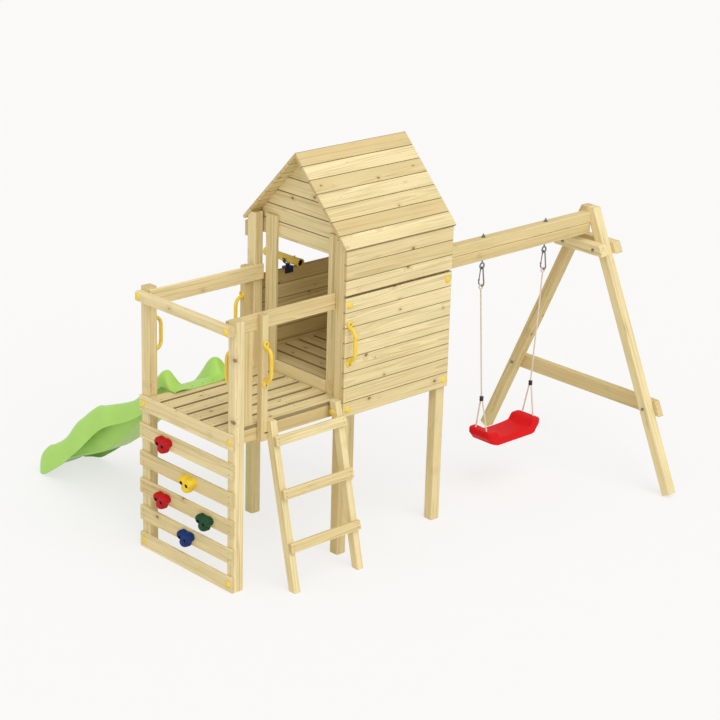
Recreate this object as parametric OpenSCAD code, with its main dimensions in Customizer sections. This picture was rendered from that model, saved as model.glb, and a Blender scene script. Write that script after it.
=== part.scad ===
// Wooden climbing frame: roofed tower, lower deck with climbing wall, ladder, wavy slide,
// telescope and a rope swing on a beam that ends in a leaning pair of legs.

/* [Timber] */
// Side of the square posts, beam timbers and swing legs
post_w = 70; // [60:1:80]
// Rounding of the post edges
post_edge = 9; // [4:1:14]
// Height of the climbing boards, rails, jambs and cross brace
board_h = 97; // [85:1:105]
// Thickness of the climbing boards and gable boards
board_t = 16; // [12:1:20]
// Thickness of the rails, rims, jambs and deck boards
plank_t = 22; // [18:1:26]
// Side of the small square timbers
batten_w = 45; // [38:1:52]
// Chamfer along the board edges
board_edge = 3; // [1:0.5:5]
// Thickness of the tongued wall boards
clad_t = 20; // [16:1:24]
// Height that each tongued wall board covers
clad_h = 93; // [80:1:100]
// Length of the tongue on a wall board
tongue_h = 8; // [5:0.5:10]
// Slack round a tongue in its groove
tongue_gap = 0.5; // [0.3:0.1:1]
// Chamfer on the outer edges of a wall board
vee = 3; // [1:0.5:5]
// Joint between neighbouring boards and timbers
joint = 0.4; // [0.2:0.1:0.8]

/* [Climbing deck] */
// Depth of the frame over the posts
frame_d = 870; // [800:5:950]
// Length from the climbing wall to the tower
deck_l = 810; // [760:5:900]
// Height of the lower deck
deck_z = 985; // [900:5:1100]
// Height of the guard rails over the lower deck
guard_h = 665; // [600:5:720]
// Rise of the wall posts above the guard rails
post_rise = 10; // [4:1:30]
// Number of climbing boards
climb_count = 6; // [5:1:7]
// Number of lower deck boards
deck_count = 6; // [5:1:7]
// Gap between deck boards
deck_gap = 14; // [6:1:18]
// Height of the rims under the deck boards
rim_h = 78; // [65:1:95]
// Depth of the rail over the climbing wall
top_rail_d = 48; // [40:1:60]
// Height of the rail over the climbing wall
top_rail_h = 60; // [50:1:80]
// Drop of the wall rail below the guard rail tops
top_rail_drop = 12; // [4:1:30]
// Distance of the wall rail's ends from the frame sides
top_rail_inset = 10; // [4:1:30]
// Gap between the infill board and the ladder post
infill_gap = 31; // [10:1:50]
// Distance from the wall to the ladder post
ladder_post_x = 218; // [205:1:235]
// Distance from the slide post to the tower
slide_post_in = 29; // [20:1:60]

/* [Climbing holds] */
// Mean radius of a climbing hold
hold_r = 56; // [45:1:60]
// Height of a climbing hold
hold_h = 50; // [38:1:60]
// Radius of the screw recesses in a hold
hold_hole_r = 9; // [6:0.5:11]
// Depth left under a screw recess
hold_floor = 14; // [8:1:18]

/* [Tower] */
// Length of the tower over its posts
tower_l = 875; // [820:5:940]
// Step from the lower deck up to the tower floor
step_h = 72; // [55:1:90]
// Distance of the doorway behind the tower posts' outer faces
door_in = 58; // [52:1:64]
// Distance from the tower side to the outer edge of a jamb
jamb_in = 105; // [95:1:120]
// Depth of the side panels below the lower deck
panel_drop = 87; // [70:1:110]
// Number of boards in the lower near panel
near_count = 8; // [8:1:8]
// Number of boards in the upper near panel
upper_count = 3; // [3:1:3]
// Shadow gap between the near panels
panel_gap = 11; // [6:1:16]
// Number of boards in the far and swing side walls
far_count = 7; // [6:1:7]
// Number of tower floor boards
floor_count = 6; // [5:1:7]
// Height of the tower floor bearers
bearer_h = 70; // [60:1:80]
// Height of the roof underside at the outer post faces
eave_z = 1940; // [1935:1:1990]
// Height of the tower post tops over the roof underside at the outer faces
post_crown = 35; // [20:1:45]
// Roof pitch in degrees
roof_pitch = 46; // [42:0.5:50]
// Thickness of the roof boards
roof_t = 20; // [16:1:24]
// Length of the roof boards down the slope past the frame sides
roof_eave = 46; // [36:1:52]
// Number of boards on each roof slope
roof_count = 7; // [6:1:8]
// Overhang of the roof past the tower ends
roof_over = 10; // [4:1:30]
// Height of the gable's lower edge below the eave
gable_drop = 100; // [80:1:120]
// Distance of the gable's flat top under the ridge
gable_top_drop = 66; // [50:1:90]
// Height of a gable board with its joint
gable_board = 97; // [85:1:105]
// Joint between two gable boards
gable_gap = 2; // [1:0.5:4]
// Drop of the wall plates below the eave
plate_drop = 15; // [10:1:25]
// Height of the far eave board's lower edge below the eave
far_eave_drop = 125; // [115:1:140]

/* [Swing] */
// Length of the swing beam past the tower
beam_l = 1372; // [1250:5:1500]
// Height of the beam's underside
beam_z = 1614; // [1600:1:1640]
// Clear distance between the swing feet
leg_spread = 1584; // [1450:2:1700]
// Depth of the legs' meeting point below the beam top
apex_drop = 16; // [6:1:26]
// Height of the leg tops over the beam top
leg_crown = 32; // [20:1:50]
// Height of the head plates
head_h = 70; // [60:1:90]
// Depth of the head plates
head_d = 70; // [45:1:80]
// Drop of the head plates below the beam
head_drop = 44; // [30:1:60]
// Overhang of plates and brace past the legs
plate_over = 24; // [10:1:40]
// Height of the cross brace
brace_z = 497; // [420:1:600]
// Distance from the tower to the first eye bolt
eye_x = 398; // [340:1:460]
// Distance between the eye bolts
eye_pitch = 574; // [520:1:620]
// Radius of the eye bolt stock
eye_wire_r = 5; // [4:0.25:6]
// Clear radius inside an eye
eye_clear_r = 13; // [11:0.5:16]
// Drop of the eye centre below the beam
eye_drop = 46; // [40:1:60]
// Free thread of the eye bolts over the nuts
eye_thread = 10; // [5:1:16]
// Radius of the snap hook stock
hook_wire_r = 4.5; // [3.5:0.25:5]
// Slack between a hook and its eye
hook_slack = 0.5; // [0.4:0.1:0.8]
// Radius of the wide lower bend of a hook
hook_bend_r = 22; // [19:0.5:26]
// Distance between the two bends of a hook
hook_l = 92; // [84:1:110]
// Radius of the gate rod
gate_r = 3.4; // [2.5:0.1:4]
// Radius of the gate pin
gate_pin_r = 1.8; // [1.4:0.1:2.2]
// Slack between gate parts on their pin
gate_slack = 0.06; // [0.05:0.01:0.1]
// Side slack between gate parts
gate_side = 0.5; // [0.35:0.05:0.8]
// Rope diameter
rope_d = 11; // [9:0.5:13]
// Radius of the rope eye round a hook
rope_eye_r = 15; // [13:0.5:18]
// Inward shift of a rope at its collar
rope_lean = 56; // [40:1:70]
// Height of the rope collars
collar_z = 668; // [600:1:720]
// Radius of a rope collar
collar_r = 13; // [12:0.5:16]
// Length of a rope collar
collar_h = 30; // [20:1:40]

/* [Swing seat] */
// Distance between the seat's rope holes
seat_pitch = 440; // [420:1:460]
// Distance between rope holes across the seat
seat_hole_pitch = 102; // [85:1:115]
// Width of the seat
seat_w = 202; // [180:1:220]
// Length of the seat past its rope holes
seat_end = 23; // [20:1:30]
// Height of the seat's raised ends
seat_z = 450; // [410:1:480]
// Length of the raised ends
seat_wing = 72; // [64:1:80]
// Rise of the ends over the seat
seat_rise = 42; // [30:1:50]
// Length of the slope between the seat and an end
seat_slope = 28; // [20:1:40]
// Dip of the seat in its middle
seat_dip = 8; // [4:1:14]
// Height of the seat with its skirts
seat_h = 93; // [80:1:105]
// Height of the seat's upright end walls
seat_end_h = 30; // [26:1:40]
// Distance that the ends lean in below them
seat_lean = 36; // [24:1:44]
// Height of the seat's ends with the leaning part
seat_lean_h = 80; // [60:1:86]
// Length over which the skirts run up to the ends
seat_sweep = 83; // [60:1:100]
// Wall thickness of the seat
seat_t = 7; // [5:0.5:9]
// Slack of a rope in its seat hole
rope_slack = 0.4; // [0.3:0.1:1]
// Radius of a rope knot
knot_r = 10; // [8:0.5:13]
// Height of a rope knot
knot_h = 14; // [10:1:20]

/* [Ladder] */
// Reach of the ladder's foot in front of the frame
ladder_run = 236; // [180:2:300]
// Height of the ladder top above the deck
ladder_rise = 20; // [0:1:60]
// Depth of the ladder sides
ladder_d = 52; // [45:1:58]
// Height of the first rung
rung_z = 240; // [200:1:280]
// Distance between rungs
rung_pitch = 311; // [280:1:330]
// Number of rungs
rung_count = 3; // [2:1:3]
// Height of a rung
rung_h = 58; // [45:1:70]
// Thickness of a rung
rung_t = 28; // [22:1:36]

/* [Slide] */
// Distance from the wall to the slide's middle line
slide_x = 384; // [370:1:400]
// Half width of the slide over its rims
slide_half = 236; // [220:1:240]
// Reach of the slide past the frame
slide_run = 1390; // [1250:5:1500]
// Length of the slide's flange on the deck
slide_flange = 64; // [50:1:80]
// Wall thickness of the slide
slide_t = 7; // [5:0.5:9]
// Depth of the rims' outer skirts
slide_skirt = 200; // [170:1:220]
// Length of the slide screws in the deck
slide_screw_l = 16; // [10:1:18]

/* [Handles and telescope] */
// Half length between a handle's feet
handle_half = 118; // [105:1:130]
// Reach of a handle's middle line
handle_bow = 52; // [46:1:60]
// Radius of a handle's grip
handle_r = 12; // [10:0.5:14]
// Flare of a handle's feet
handle_flare = 9; // [5:0.5:12]
// Height of the handles above the lower deck
handle_z = 370; // [330:1:400]
// Distance from the door side of the tower to the telescope
scope_x = 340; // [300:1:400]
// Outer radius of the telescope tube
scope_r = 25; // [21:0.5:28]
// Wall thickness of the telescope tube
scope_wall = 3; // [2:0.25:4]
// Length of the telescope inside its yoke
scope_in = 125; // [90:1:150]
// Length of the telescope outside its yoke
scope_out = 205; // [150:1:220]
// Radius added by the telescope's front ring
scope_ring = 4; // [2:0.5:5]
// Length of the telescope's front ring
scope_ring_l = 46; // [30:1:70]
// Height of the telescope's tilt axis above the wall
scope_z = 56; // [52:1:64]
// Gap between the telescope and its yoke
yoke_gap = 6; // [5:0.5:8]
// Thickness of the yoke
yoke_t = 6; // [4.5:0.5:8]
// Width of the yoke along the telescope
yoke_w = 20; // [16:1:24]
// Radius of the tilt pins
tilt_pin_r = 4; // [3:0.25:5]
// Radius of the pan spigot
pan_pin_r = 6; // [5:0.25:7]
// Radius of the yoke's stem
pan_boss_r = 13; // [11:0.5:16]
// Radial slack of the pan and tilt pins
turn_slack = 0.06; // [0.05:0.01:0.1]
// End gap over the pan spigot
pan_gap = 0.25; // [0.2:0.05:0.6]
// Height of the telescope base plate
scope_base_h = 9; // [6:0.5:11]
// Width of the telescope base plate
scope_base_w = 64; // [50:1:80]
// Length of the clamp lips of the telescope base
scope_lip = 34; // [20:1:45]
// Thickness of the clamp lips
scope_lip_t = 8; // [5:0.5:10]
// Height of the telescope's aiming knob
scope_knob_h = 7; // [4:0.5:10]
// Radius of the telescope's aiming knob
scope_knob_r = 6; // [4:0.5:8]

/* [Fasteners] */
// Radius of a bolt shank
bolt_r = 5; // [4:0.25:6]
// Slack round a bolt shank
bolt_slack = 0.3; // [0.2:0.05:0.5]
// Radius of a bolt cap
cap_r = 20; // [14:0.5:23]
// Height of a bolt cap
cap_h = 10; // [6:0.5:12]
// Depth of a bolt in its post
bolt_bite = 48; // [35:1:55]
// Radius of a nut or bolt head
nut_r = 10; // [8:0.5:12]
// Height of a nut or bolt head
nut_h = 9; // [7:0.5:12]
// Radius of a washer
washer_r = 15; // [13:0.5:18]
// Thickness of a washer
washer_t = 3; // [2:0.25:4]

/* [Hidden] */
// Overrun of a cut past the faces it opens
over = 4;
// Facets of the small round forms
$fn = 32;
// Facets of the bolt eyes, the yoke and the bolt caps
eye_facets = 48;
yoke_facets = 64;
cap_facets = 96;
// Sides of a nut or bolt head
nut_sides = 6;
// Number of stretches in each bend of a hook
hook_steps = 16;
// Lobes of a climbing hold and the turns of its two screw recesses
lobes = 3;
recess_turns = [8, 188];
// Sharpness of the flare at a handle's feet
flare_power = 12;
// Sides of swept tubes
tube_sides = 10;
// Number of stretches in a handle
handle_steps = 16;
// Stretches between two stations of the slide
slide_steps = 2;
// Squareness of the handle's bow
bow_power = 2.6;

y_in0 = post_w;
y_in1 = frame_d - post_w;
y_mid = frame_d / 2;
rail_top = deck_z + guard_h;
rail_z = rail_top - board_h;
post_top = rail_top + post_rise;
tower_x0 = deck_l;
tower_x1 = deck_l + tower_l;
door_x = tower_x0 + door_in;
door_back = door_x + plank_t;
floor_z = deck_z + step_h;
panel_z = deck_z - panel_drop;
near_top = panel_z + near_count * clad_h;
far_top = panel_z + far_count * clad_h;
upper_z = near_top + panel_gap;
wall_in = tower_x1 - post_w - clad_t;
climb_pitch = (deck_z - board_h) / (climb_count - 1);
rim_z = deck_z - plank_t;
clip_z = rim_z - rim_h;
deck_w = (y_in1 - y_in0 - (deck_count - 1) * deck_gap) / deck_count;
slide_post_x = tower_x0 - slide_post_in - batten_w;
gable_x0 = door_back;
gable_x1 = tower_x1 - (gable_x0 - tower_x0) - board_t;
pitch_t = tan(roof_pitch);
roof_board = (y_mid / cos(roof_pitch) + roof_eave) / roof_count;
ridge_under = eave_z + y_mid * pitch_t;
ridge_z = ridge_under + roof_t / cos(roof_pitch);
plate_top = eave_z - plate_drop;
gable_z = eave_z - gable_drop;
gable_top = ridge_under - gable_top_drop;
gable_count = ceil((gable_top - gable_z) / gable_board);
beam_y = y_in0;
swing_y = beam_y + post_w / 2;
beam_top = beam_z + 2 * post_w;
beam_x0 = tower_x1 - post_w;
leg_x = tower_x1 + beam_l;
leg_half = leg_spread / 2;
apex_z = beam_top - apex_drop;
lean = atan(leg_half / apex_z);
leg_top = beam_top + leg_crown;
leg_l = (leg_top + post_w) / cos(lean);
head_z = beam_z - head_drop - head_h;
eyes_x = [tower_x1 + eye_x, tower_x1 + eye_x + eye_pitch];
swing_mid = tower_x1 + eye_x + eye_pitch / 2;
eye_ring_r = eye_clear_r + eye_wire_r;
eye_z = beam_z - eye_drop;
pivot_z = eye_z - eye_ring_r;
hook_top_r = eye_wire_r + hook_slack + hook_wire_r;
hook_low = -hook_l;
hook_flare = asin((hook_bend_r - hook_top_r) / hook_l);
hook_low_z = pivot_z - hook_l - hook_bend_r;
rope_eye_z = hook_low_z + hook_wire_r + rope_d / 2 - rope_eye_r;
rope_top_z = rope_eye_z - rope_eye_r;
ladder_top = deck_z + ladder_rise;
ladder_lean = atan(ladder_run / ladder_top);
ladder_flat = ladder_d / cos(ladder_lean);
ladder_x0 = ladder_post_x + batten_w;
ladder_x1 = tower_x0 - batten_w;
slide_y0 = y_in1 - slide_flange;
slide_y1 = frame_d + slide_run;
seat_half = seat_pitch / 2 + seat_end;
seat_x1 = seat_half - seat_wing;
seat_x0 = seat_x1 - seat_slope;
seat_low = seat_z - seat_t;
scope_mid = tower_x0 + scope_x;
scope_y = frame_d + clad_t / 2;
tilt_z = far_top + scope_z;
yoke_in = scope_r + yoke_gap;
yoke_out = yoke_in + yoke_t;
pan_z = far_top + scope_base_h;
x_min = -(board_t + hold_h);
x_max = leg_x + post_w + head_d + nut_h + over;
y_min = swing_y - leg_half - post_w * cos(lean);
y_max = slide_y1;
mid = [(x_min + x_max) / 2, (y_min + y_max) / 2, 0];

// Caps on the climbing wall
wall_cap_y = [post_w / 2, frame_d - post_w / 2];
wall_cap_z = [board_h / 2, deck_z - board_h / 2];
rail_cap_z = rail_top - top_rail_drop - top_rail_h / 2;
// Caps on the near panel
panel_cap_x = [tower_x0 + post_w / 2, tower_x1 - post_w / 2];
panel_cap_z = [panel_z + clad_h / 2, near_top - clad_h / 2];
// Bolts of the ladder sides, the head plates and the brace
ladder_bolt = [ladder_flat / 2, deck_z - ladder_d];
head_bolt_z = head_z + head_h / 2;
brace_bolt_z = brace_z + board_h / 2;
// Holds: share of the frame depth, share of the deck height
red_shares = [[0.708, 0.76], [0.725, 0.393]];
yellow_shares = [[0.447, 0.582]];
green_shares = [[0.267, 0.388]];
blue_shares = [[0.467, 0.223]];
// Shape of a hold: share of the radius, share of the height
hold_shares = [[1, 0], [1, 0.35], [0.96, 0.68], [0.86, 0.9], [0.7, 1]];
// Depth of the lobes, height of a hold over its width and place of the screw recesses as shares
lobe_share = 0.2;
tall_share = 0.84;
recess_share = 0.42;
// Slide stations: shares of the length, of the deck height at floor and rim, of the skirt and of the width
slide_shares = [
    [0, 1, 1.012, 0.02, 1],
    [0.032, 1, 1.016, 0.03, 1],
    [0.055, 1, 1.045, 0.06, 1],
    [0.075, 0.992, 1.082, 0.2, 1],
    [0.098, 0.972, 1.0945, 0.45, 1],
    [0.127, 0.936, 1.06, 0.6, 1],
    [0.163, 0.885, 0.985, 0.63, 1],
    [0.213, 0.812, 0.895, 0.63, 1],
    [0.285, 0.705, 0.82, 0.63, 1],
    [0.352, 0.608, 0.7665, 0.635, 1],
    [0.447, 0.478, 0.7085, 0.68, 1],
    [0.505, 0.404, 0.674, 0.77, 1],
    [0.545, 0.355, 0.654, 0.92, 1],
    [0.605, 0.292, 0.588, 1.02, 1],
    [0.646, 0.262, 0.535, 1.06, 1],
    [0.698, 0.224, 0.467, 1.06, 1],
    [0.773, 0.174, 0.333, 0.88, 1],
    [0.858, 0.112, 0.243, 0.67, 1],
    [0.912, 0.068, 0.202, 0.54, 0.99],
    [0.967, 0.024, 0.14, 0.45, 0.95],
    [1, 0, 0.07, 0.3, 0.8]
];
// Slide section: share of the half width, share of the rim height over the floor, skirt share
section_shares = [
    [1, 1, 1],
    [0.987, 1, 0.5],
    [0.94, 1, 0.2],
    [0.86, 1, 0.04],
    [0.775, 1, 0],
    [0.7, 0.93, 0],
    [0.6, 0.55, 0],
    [0.5, 0.14, 0],
    [0.38, 0, 0]
];
// Inward directions of the slide wall at those points
section_in_shares = [
    [-1, 0],
    [-1, -0.1],
    [-0.75, -0.65],
    [-0.3, -0.95],
    [0, -1],
    [0.5, -0.85],
    [0.92, -0.38],
    [0.8, -0.6],
    [0.15, -0.98]
];
// Deck joists as shares of the deck length
joist_shares = [1 / 3, 2 / 3];
// Screws of the slide flange as shares of the half width
flange_screw_shares = [-0.34, 0, 0.34];

// Helpers for bars, boards and cuts

module along_x(l) {
    rotate([90, 0, 90]) linear_extrude(l) children();
}

module round_section(w, d) {
    translate([post_edge, 0]) square([w - 2 * post_edge, d]);
    translate([0, post_edge]) square([w, d - 2 * post_edge]);
    for (x = [post_edge, w - post_edge]) {
        for (y = [post_edge, d - post_edge]) {
            translate([x, y]) circle(post_edge);
        }
    }
}

module post(x, y, h) {
    translate([x, y, 0]) linear_extrude(h) round_section(post_w, post_w);
}

module board_section(w, h) {
    e = board_edge;
    polygon([[e, 0], [w - e, 0], [w, e], [w, h - e], [w - e, h], [e, h], [0, h - e], [0, e]]);
}

// A board that lies along X, Y or Z with chamfered long edges
module board_x(at, l, w, h) {
    translate(at) along_x(l) board_section(w, h);
}

module board_y(at, l, w, h) {
    translate(at) translate([0, l, 0]) rotate([90, 0, 0]) linear_extrude(l) board_section(w, h);
}

module board_z(at, l, w, h) {
    translate(at) linear_extrude(l) board_section(w, h);
}

module bore_x(at, l, r) {
    translate(at) rotate([0, 90, 0]) cylinder(h = l, r = r);
}

module bore_y(at, l, r) {
    translate(at) rotate([-90, 0, 0]) cylinder(h = l, r = r);
}

// A tongued board section: thickness runs along x from the outer face
module tongued_section(top) {
    k = clad_t / 3;
    g = tongue_gap;
    h = clad_h - joint;
    base = [
        [vee, 0], [k, 0], [k, tongue_h + g], [2 * k, tongue_h + g], [2 * k, 0], [clad_t, 0], [clad_t, h]
    ];
    tongue = [[2 * k - g, h], [2 * k - g, h + tongue_h], [k + g, h + tongue_h], [k + g, h]];
    face = [[vee, h], [0, h - vee], [0, vee]];
    polygon(top ? concat(base, face) : concat(base, tongue, face));
}

// Boards stacked from z, outer face towards -Y
module tongued_wall(x, z, l, count) {
    for (i = [0 : count - 1]) {
        translate([x, 0, z + i * clad_h]) along_x(l) tongued_section(i == count - 1);
    }
}

// Sweeps: rings of points square to a path that stays in one plane
function unit(v) = v / norm(v);
function path_dir(p, i) = unit(p[min(i + 1, len(p) - 1)] - p[max(i - 1, 0)]);
function ring(c, d, flat, r) = [
    for (k = [0 : tube_sides - 1])
        let (a = 360 * k / tube_sides, u = unit(cross(d, flat)))
        c + r * (cos(a) * u + sin(a) * unit(cross(u, d)))
];
function ring_faces(n, m) = [
    for (i = [0 : n - 2], k = [0 : m - 1])
        [i * m + k, i * m + (k + 1) % m, (i + 1) * m + (k + 1) % m, (i + 1) * m + k]
];
function cap_faces(n, m) = [
    [for (k = [m - 1 : -1 : 0]) k],
    [for (k = [0 : m - 1]) (n - 1) * m + k]
];

module sweep(p, dirs, flat, radii) {
    n = len(p);
    rings = [for (i = [0 : n - 1]) each ring(p[i], dirs[i], flat, radii[i])];
    polyhedron(points = rings, faces = concat(ring_faces(n, tube_sides), cap_faces(n, tube_sides)));
}

module tube(p, flat, r) {
    sweep(p, [for (i = [0 : len(p) - 1]) path_dir(p, i)], flat, [for (i = p) r]);
}

// Posts

module post_wall_near() {
    color("BurlyWood") difference() {
        post(0, 0, post_top);
        wall_bolt_bores(wall_cap_y[0]);
    }
}

module post_wall_far() {
    color("BurlyWood") difference() {
        post(0, frame_d - post_w, post_top);
        wall_bolt_bores(wall_cap_y[1]);
    }
}

module wall_bolt_bores(y) {
    for (z = concat(wall_cap_z, [rail_cap_z])) {
        bore_x([-over - top_rail_d, y, z], over + top_rail_d + bolt_bite + over, bolt_r + bolt_slack);
    }
}

module tower_post(x) {
    top = eave_z + post_crown;
    slope = post_crown / pitch_t;
    intersection() {
        post(x, 0, top);
        translate([x, 0, 0]) along_x(post_w)
            polygon([[0, 0], [post_w, 0], [post_w, top], [slope, top], [0, eave_z]]);
    }
}

module far_side() {
    translate([0, frame_d, 0]) mirror([0, 1, 0]) children();
}

module panel_bolt_bores(x) {
    for (z = panel_cap_z) {
        bore_y([x, -clad_t - over, z], clad_t + over + bolt_bite + over, bolt_r + bolt_slack);
    }
}

module beam_bolt_bores() {
    for (z = [beam_z + post_w / 2, beam_z + post_w * 3 / 2]) {
        bore_y([beam_x0 + post_w / 2, -over, z], 2 * post_w + 2 * over, bolt_r + bolt_slack);
    }
}

module post_door_near() {
    color("BurlyWood") difference() {
        tower_post(tower_x0);
        panel_bolt_bores(panel_cap_x[0]);
        bore_x([tower_x0 - over, ladder_bolt[0], ladder_bolt[1]], over + bolt_bite + over - batten_w / 2,
            bolt_r + bolt_slack);
    }
}

module post_door_far() {
    color("BurlyWood") far_side() tower_post(tower_x0);
}

module post_swing_near() {
    color("BurlyWood") difference() {
        tower_post(beam_x0);
        panel_bolt_bores(panel_cap_x[1]);
        beam_bolt_bores();
    }
}

module post_swing_far() {
    color("BurlyWood") far_side() tower_post(beam_x0);
}

// Climbing wall and lower deck

module climbing_boards() {
    color("BurlyWood") for (i = [0 : climb_count - 1]) {
        difference() {
            board_y([-board_t, 0, i * climb_pitch], frame_d, board_t, board_h);
            if (i == 0 || i == climb_count - 1) {
                wall_bolt_bores(wall_cap_y[0]);
                wall_bolt_bores(wall_cap_y[1]);
            }
        }
    }
}

module wall_rail() {
    z = rail_cap_z - top_rail_h / 2;
    l = frame_d - 2 * top_rail_inset;
    color("BurlyWood") difference() {
        translate([-top_rail_d, top_rail_inset + l, z]) rotate([90, 0, 0]) linear_extrude(l)
            round_section(top_rail_d, top_rail_h);
        wall_bolt_bores(wall_cap_y[0]);
        wall_bolt_bores(wall_cap_y[1]);
    }
}

function hold_ring(r, z) = [
    for (k = [0 : $fn - 1])
        let (a = 360 * k / $fn)
        let (reach = r * (1 + lobe_share * sin(lobes * a)))
        [z, reach * cos(a), tall_share * reach * sin(a)]
];

module hold(at) {
    n = len(hold_shares);
    rings = [for (s = hold_shares) each hold_ring(s[0] * hold_r, -s[1] * hold_h)];
    translate([-board_t, at[0] * frame_d, at[1] * deck_z]) difference() {
        polyhedron(points = rings, faces = concat(ring_faces(n, $fn), cap_faces(n, $fn)));
        for (a = recess_turns) {
            bore_x([-hold_h - over, recess_share * hold_r * cos(a), recess_share * hold_r * sin(a)],
                hold_h + over - hold_floor, hold_hole_r);
        }
    }
}

module holds_red() {
    color("Crimson") for (s = red_shares) {
        hold(s);
    }
}

module hold_yellow() {
    color("Gold") hold(yellow_shares[0]);
}

module hold_green() {
    color("ForestGreen") hold(green_shares[0]);
}

module hold_blue() {
    color("RoyalBlue") hold(blue_shares[0]);
}

module guard_rail_near() {
    color("BurlyWood") board_x([0, y_in0, rail_z], door_x, plank_t, board_h);
}

module guard_rail_far() {
    color("BurlyWood") board_x([0, y_in1 - plank_t, rail_z], door_x, plank_t, board_h);
}

module infill_board() {
    color("BurlyWood") board_z([ladder_post_x - infill_gap - board_h, y_in0, deck_z], rail_z - deck_z,
        board_h, plank_t);
}

module ladder_post() {
    color("BurlyWood") difference() {
        board_z([ladder_post_x, y_in0 - batten_w, clip_z], rail_top - clip_z, batten_w, batten_w);
        bore_x([ladder_x0 - bolt_bite / 2, ladder_bolt[0], ladder_bolt[1]], bolt_bite / 2 + over,
            bolt_r + bolt_slack);
    }
}

module slide_post() {
    color("BurlyWood") board_z([slide_post_x, y_in1, clip_z], rail_top - clip_z, batten_w, batten_w);
}

module deck_rims() {
    color("BurlyWood") for (y = [y_in0, y_in1 - plank_t]) {
        board_x([0, y, clip_z], door_back, plank_t, rim_h);
    }
}

module deck_joists() {
    color("BurlyWood") for (share = joist_shares) {
        board_y([share * deck_l, y_in0 + plank_t, rim_z - batten_w], y_in1 - y_in0 - 2 * plank_t,
            batten_w, batten_w);
    }
}

module deck_boards() {
    color("BurlyWood") difference() {
        for (i = [0 : deck_count - 1]) {
            board_x([0, y_in0 + i * (deck_w + deck_gap), rim_z], door_x, deck_w, plank_t);
        }
        slide_screw_shanks(bolt_slack);
    }
}

// Tower

module floor_bearers() {
    mid_x = (door_back + wall_in - batten_w) / 2;
    color("BurlyWood") for (x = [door_back, mid_x, wall_in - batten_w]) {
        board_y([x, 0, floor_z - plank_t - bearer_h], frame_d, batten_w, bearer_h);
    }
}

module floor_boards() {
    room = wall_in - joint - door_back;
    w = (room - (floor_count - 1) * deck_gap) / floor_count;
    color("BurlyWood") for (i = [0 : floor_count - 1]) {
        board_y([door_back + i * (w + deck_gap), 0, floor_z - plank_t], frame_d, w, plank_t);
    }
}

module step_board() {
    y = jamb_in + board_h;
    color("BurlyWood") board_y([door_x, y, deck_z], frame_d - 2 * y, plank_t, step_h);
}

module door_jambs() {
    top = eave_z + post_crown;
    color("BurlyWood") for (y = [jamb_in, frame_d - jamb_in - board_h]) {
        board_z([door_x, y, deck_z], top - deck_z, plank_t, board_h);
    }
}

module panel_near_lower() {
    color("BurlyWood") difference() {
        translate([0, -clad_t, 0]) tongued_wall(tower_x0, panel_z, tower_l, near_count);
        panel_bolt_bores(panel_cap_x[0]);
        panel_bolt_bores(panel_cap_x[1]);
    }
}

// The top board is cut to the slope of the roof boards that pass over it
module panel_near_upper() {
    top = eave_z - joint;
    color("BurlyWood") intersection() {
        translate([0, -clad_t, 0]) tongued_wall(tower_x0, upper_z, tower_l, upper_count);
        translate([tower_x0, 0, 0]) along_x(tower_l)
            polygon([[-clad_t, panel_z], [0, panel_z], [0, top], [-clad_t, top - clad_t * pitch_t]]);
    }
}

module panel_far() {
    color("BurlyWood") far_side() translate([0, -clad_t, 0])
        tongued_wall(tower_x0, panel_z, tower_l, far_count);
}

module eave_board_far() {
    color("BurlyWood") far_side()
        board_x([tower_x0, -clad_t, eave_z - far_eave_drop], tower_l, clad_t, board_h);
}

module panel_swing() {
    color("BurlyWood") translate([tower_x1 - post_w, 0, 0]) rotate([0, 0, 90])
        tongued_wall(0, panel_z, frame_d, far_count);
}

module gable(x) {
    inset = batten_w;
    for (i = [0 : gable_count - 1]) {
        z0 = gable_z + i * gable_board;
        z1 = min(z0 + gable_board - gable_gap, gable_top);
        translate([x, 0, 0]) along_x(board_t) intersection() {
            translate([inset, z0]) square([frame_d - 2 * inset, z1 - z0]);
            polygon([[0, 0], [frame_d, 0], [frame_d, eave_z], [y_mid, ridge_under], [0, eave_z]]);
        }
    }
}

module gable_door() {
    color("BurlyWood") gable(gable_x0);
}

module gable_swing() {
    color("BurlyWood") gable(gable_x1);
}

module wall_plates() {
    x = tower_x0 + post_w;
    color("BurlyWood") for (y = [0, frame_d - batten_w]) {
        board_x([x, y, plate_top - batten_w], beam_x0 - x, batten_w, batten_w);
    }
}

// One rafter with a seat on the wall plate and a plumb cut at the ridge
module rafter(x) {
    dip = batten_w / cos(roof_pitch);
    foot = max(0, (plate_top - eave_z + dip) / pitch_t);
    end = y_mid - joint / 2;
    end_z = eave_z + end * pitch_t;
    translate([x, 0, 0]) along_x(batten_w)
        polygon([[0, eave_z], [0, plate_top], [foot, plate_top], [end, end_z - dip], [end, end_z]]);
}

module rafters() {
    color("BurlyWood") for (x = [gable_x0 + board_t, gable_x1 - batten_w]) {
        rafter(x);
        far_side() rafter(x);
    }
}

module roof_slope() {
    mitre = roof_t * pitch_t;
    e = board_edge;
    translate([tower_x0 - roof_over, 0, 0]) along_x(tower_l + 2 * roof_over)
        translate([y_mid, ridge_z]) rotate(180 + roof_pitch)
            for (i = [0 : roof_count - 1]) {
                s = i * roof_board;
                t = s + roof_board - joint;
                top = i == 0 ? [[0, 0], [mitre, roof_t]] : [[s + e, 0], [s, e], [s, roof_t]];
                polygon(concat(top, [[t, roof_t], [t, e], [t - e, 0]]));
            }
}

module roof_near() {
    color("BurlyWood") roof_slope();
}

module roof_far() {
    color("BurlyWood") far_side() roof_slope();
}

// Swing frame

module eye_bores() {
    for (x = eyes_x) {
        translate([x, swing_y, beam_z - over])
            cylinder(h = 2 * post_w + 2 * over, r = eye_wire_r + bolt_slack);
    }
}

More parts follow.
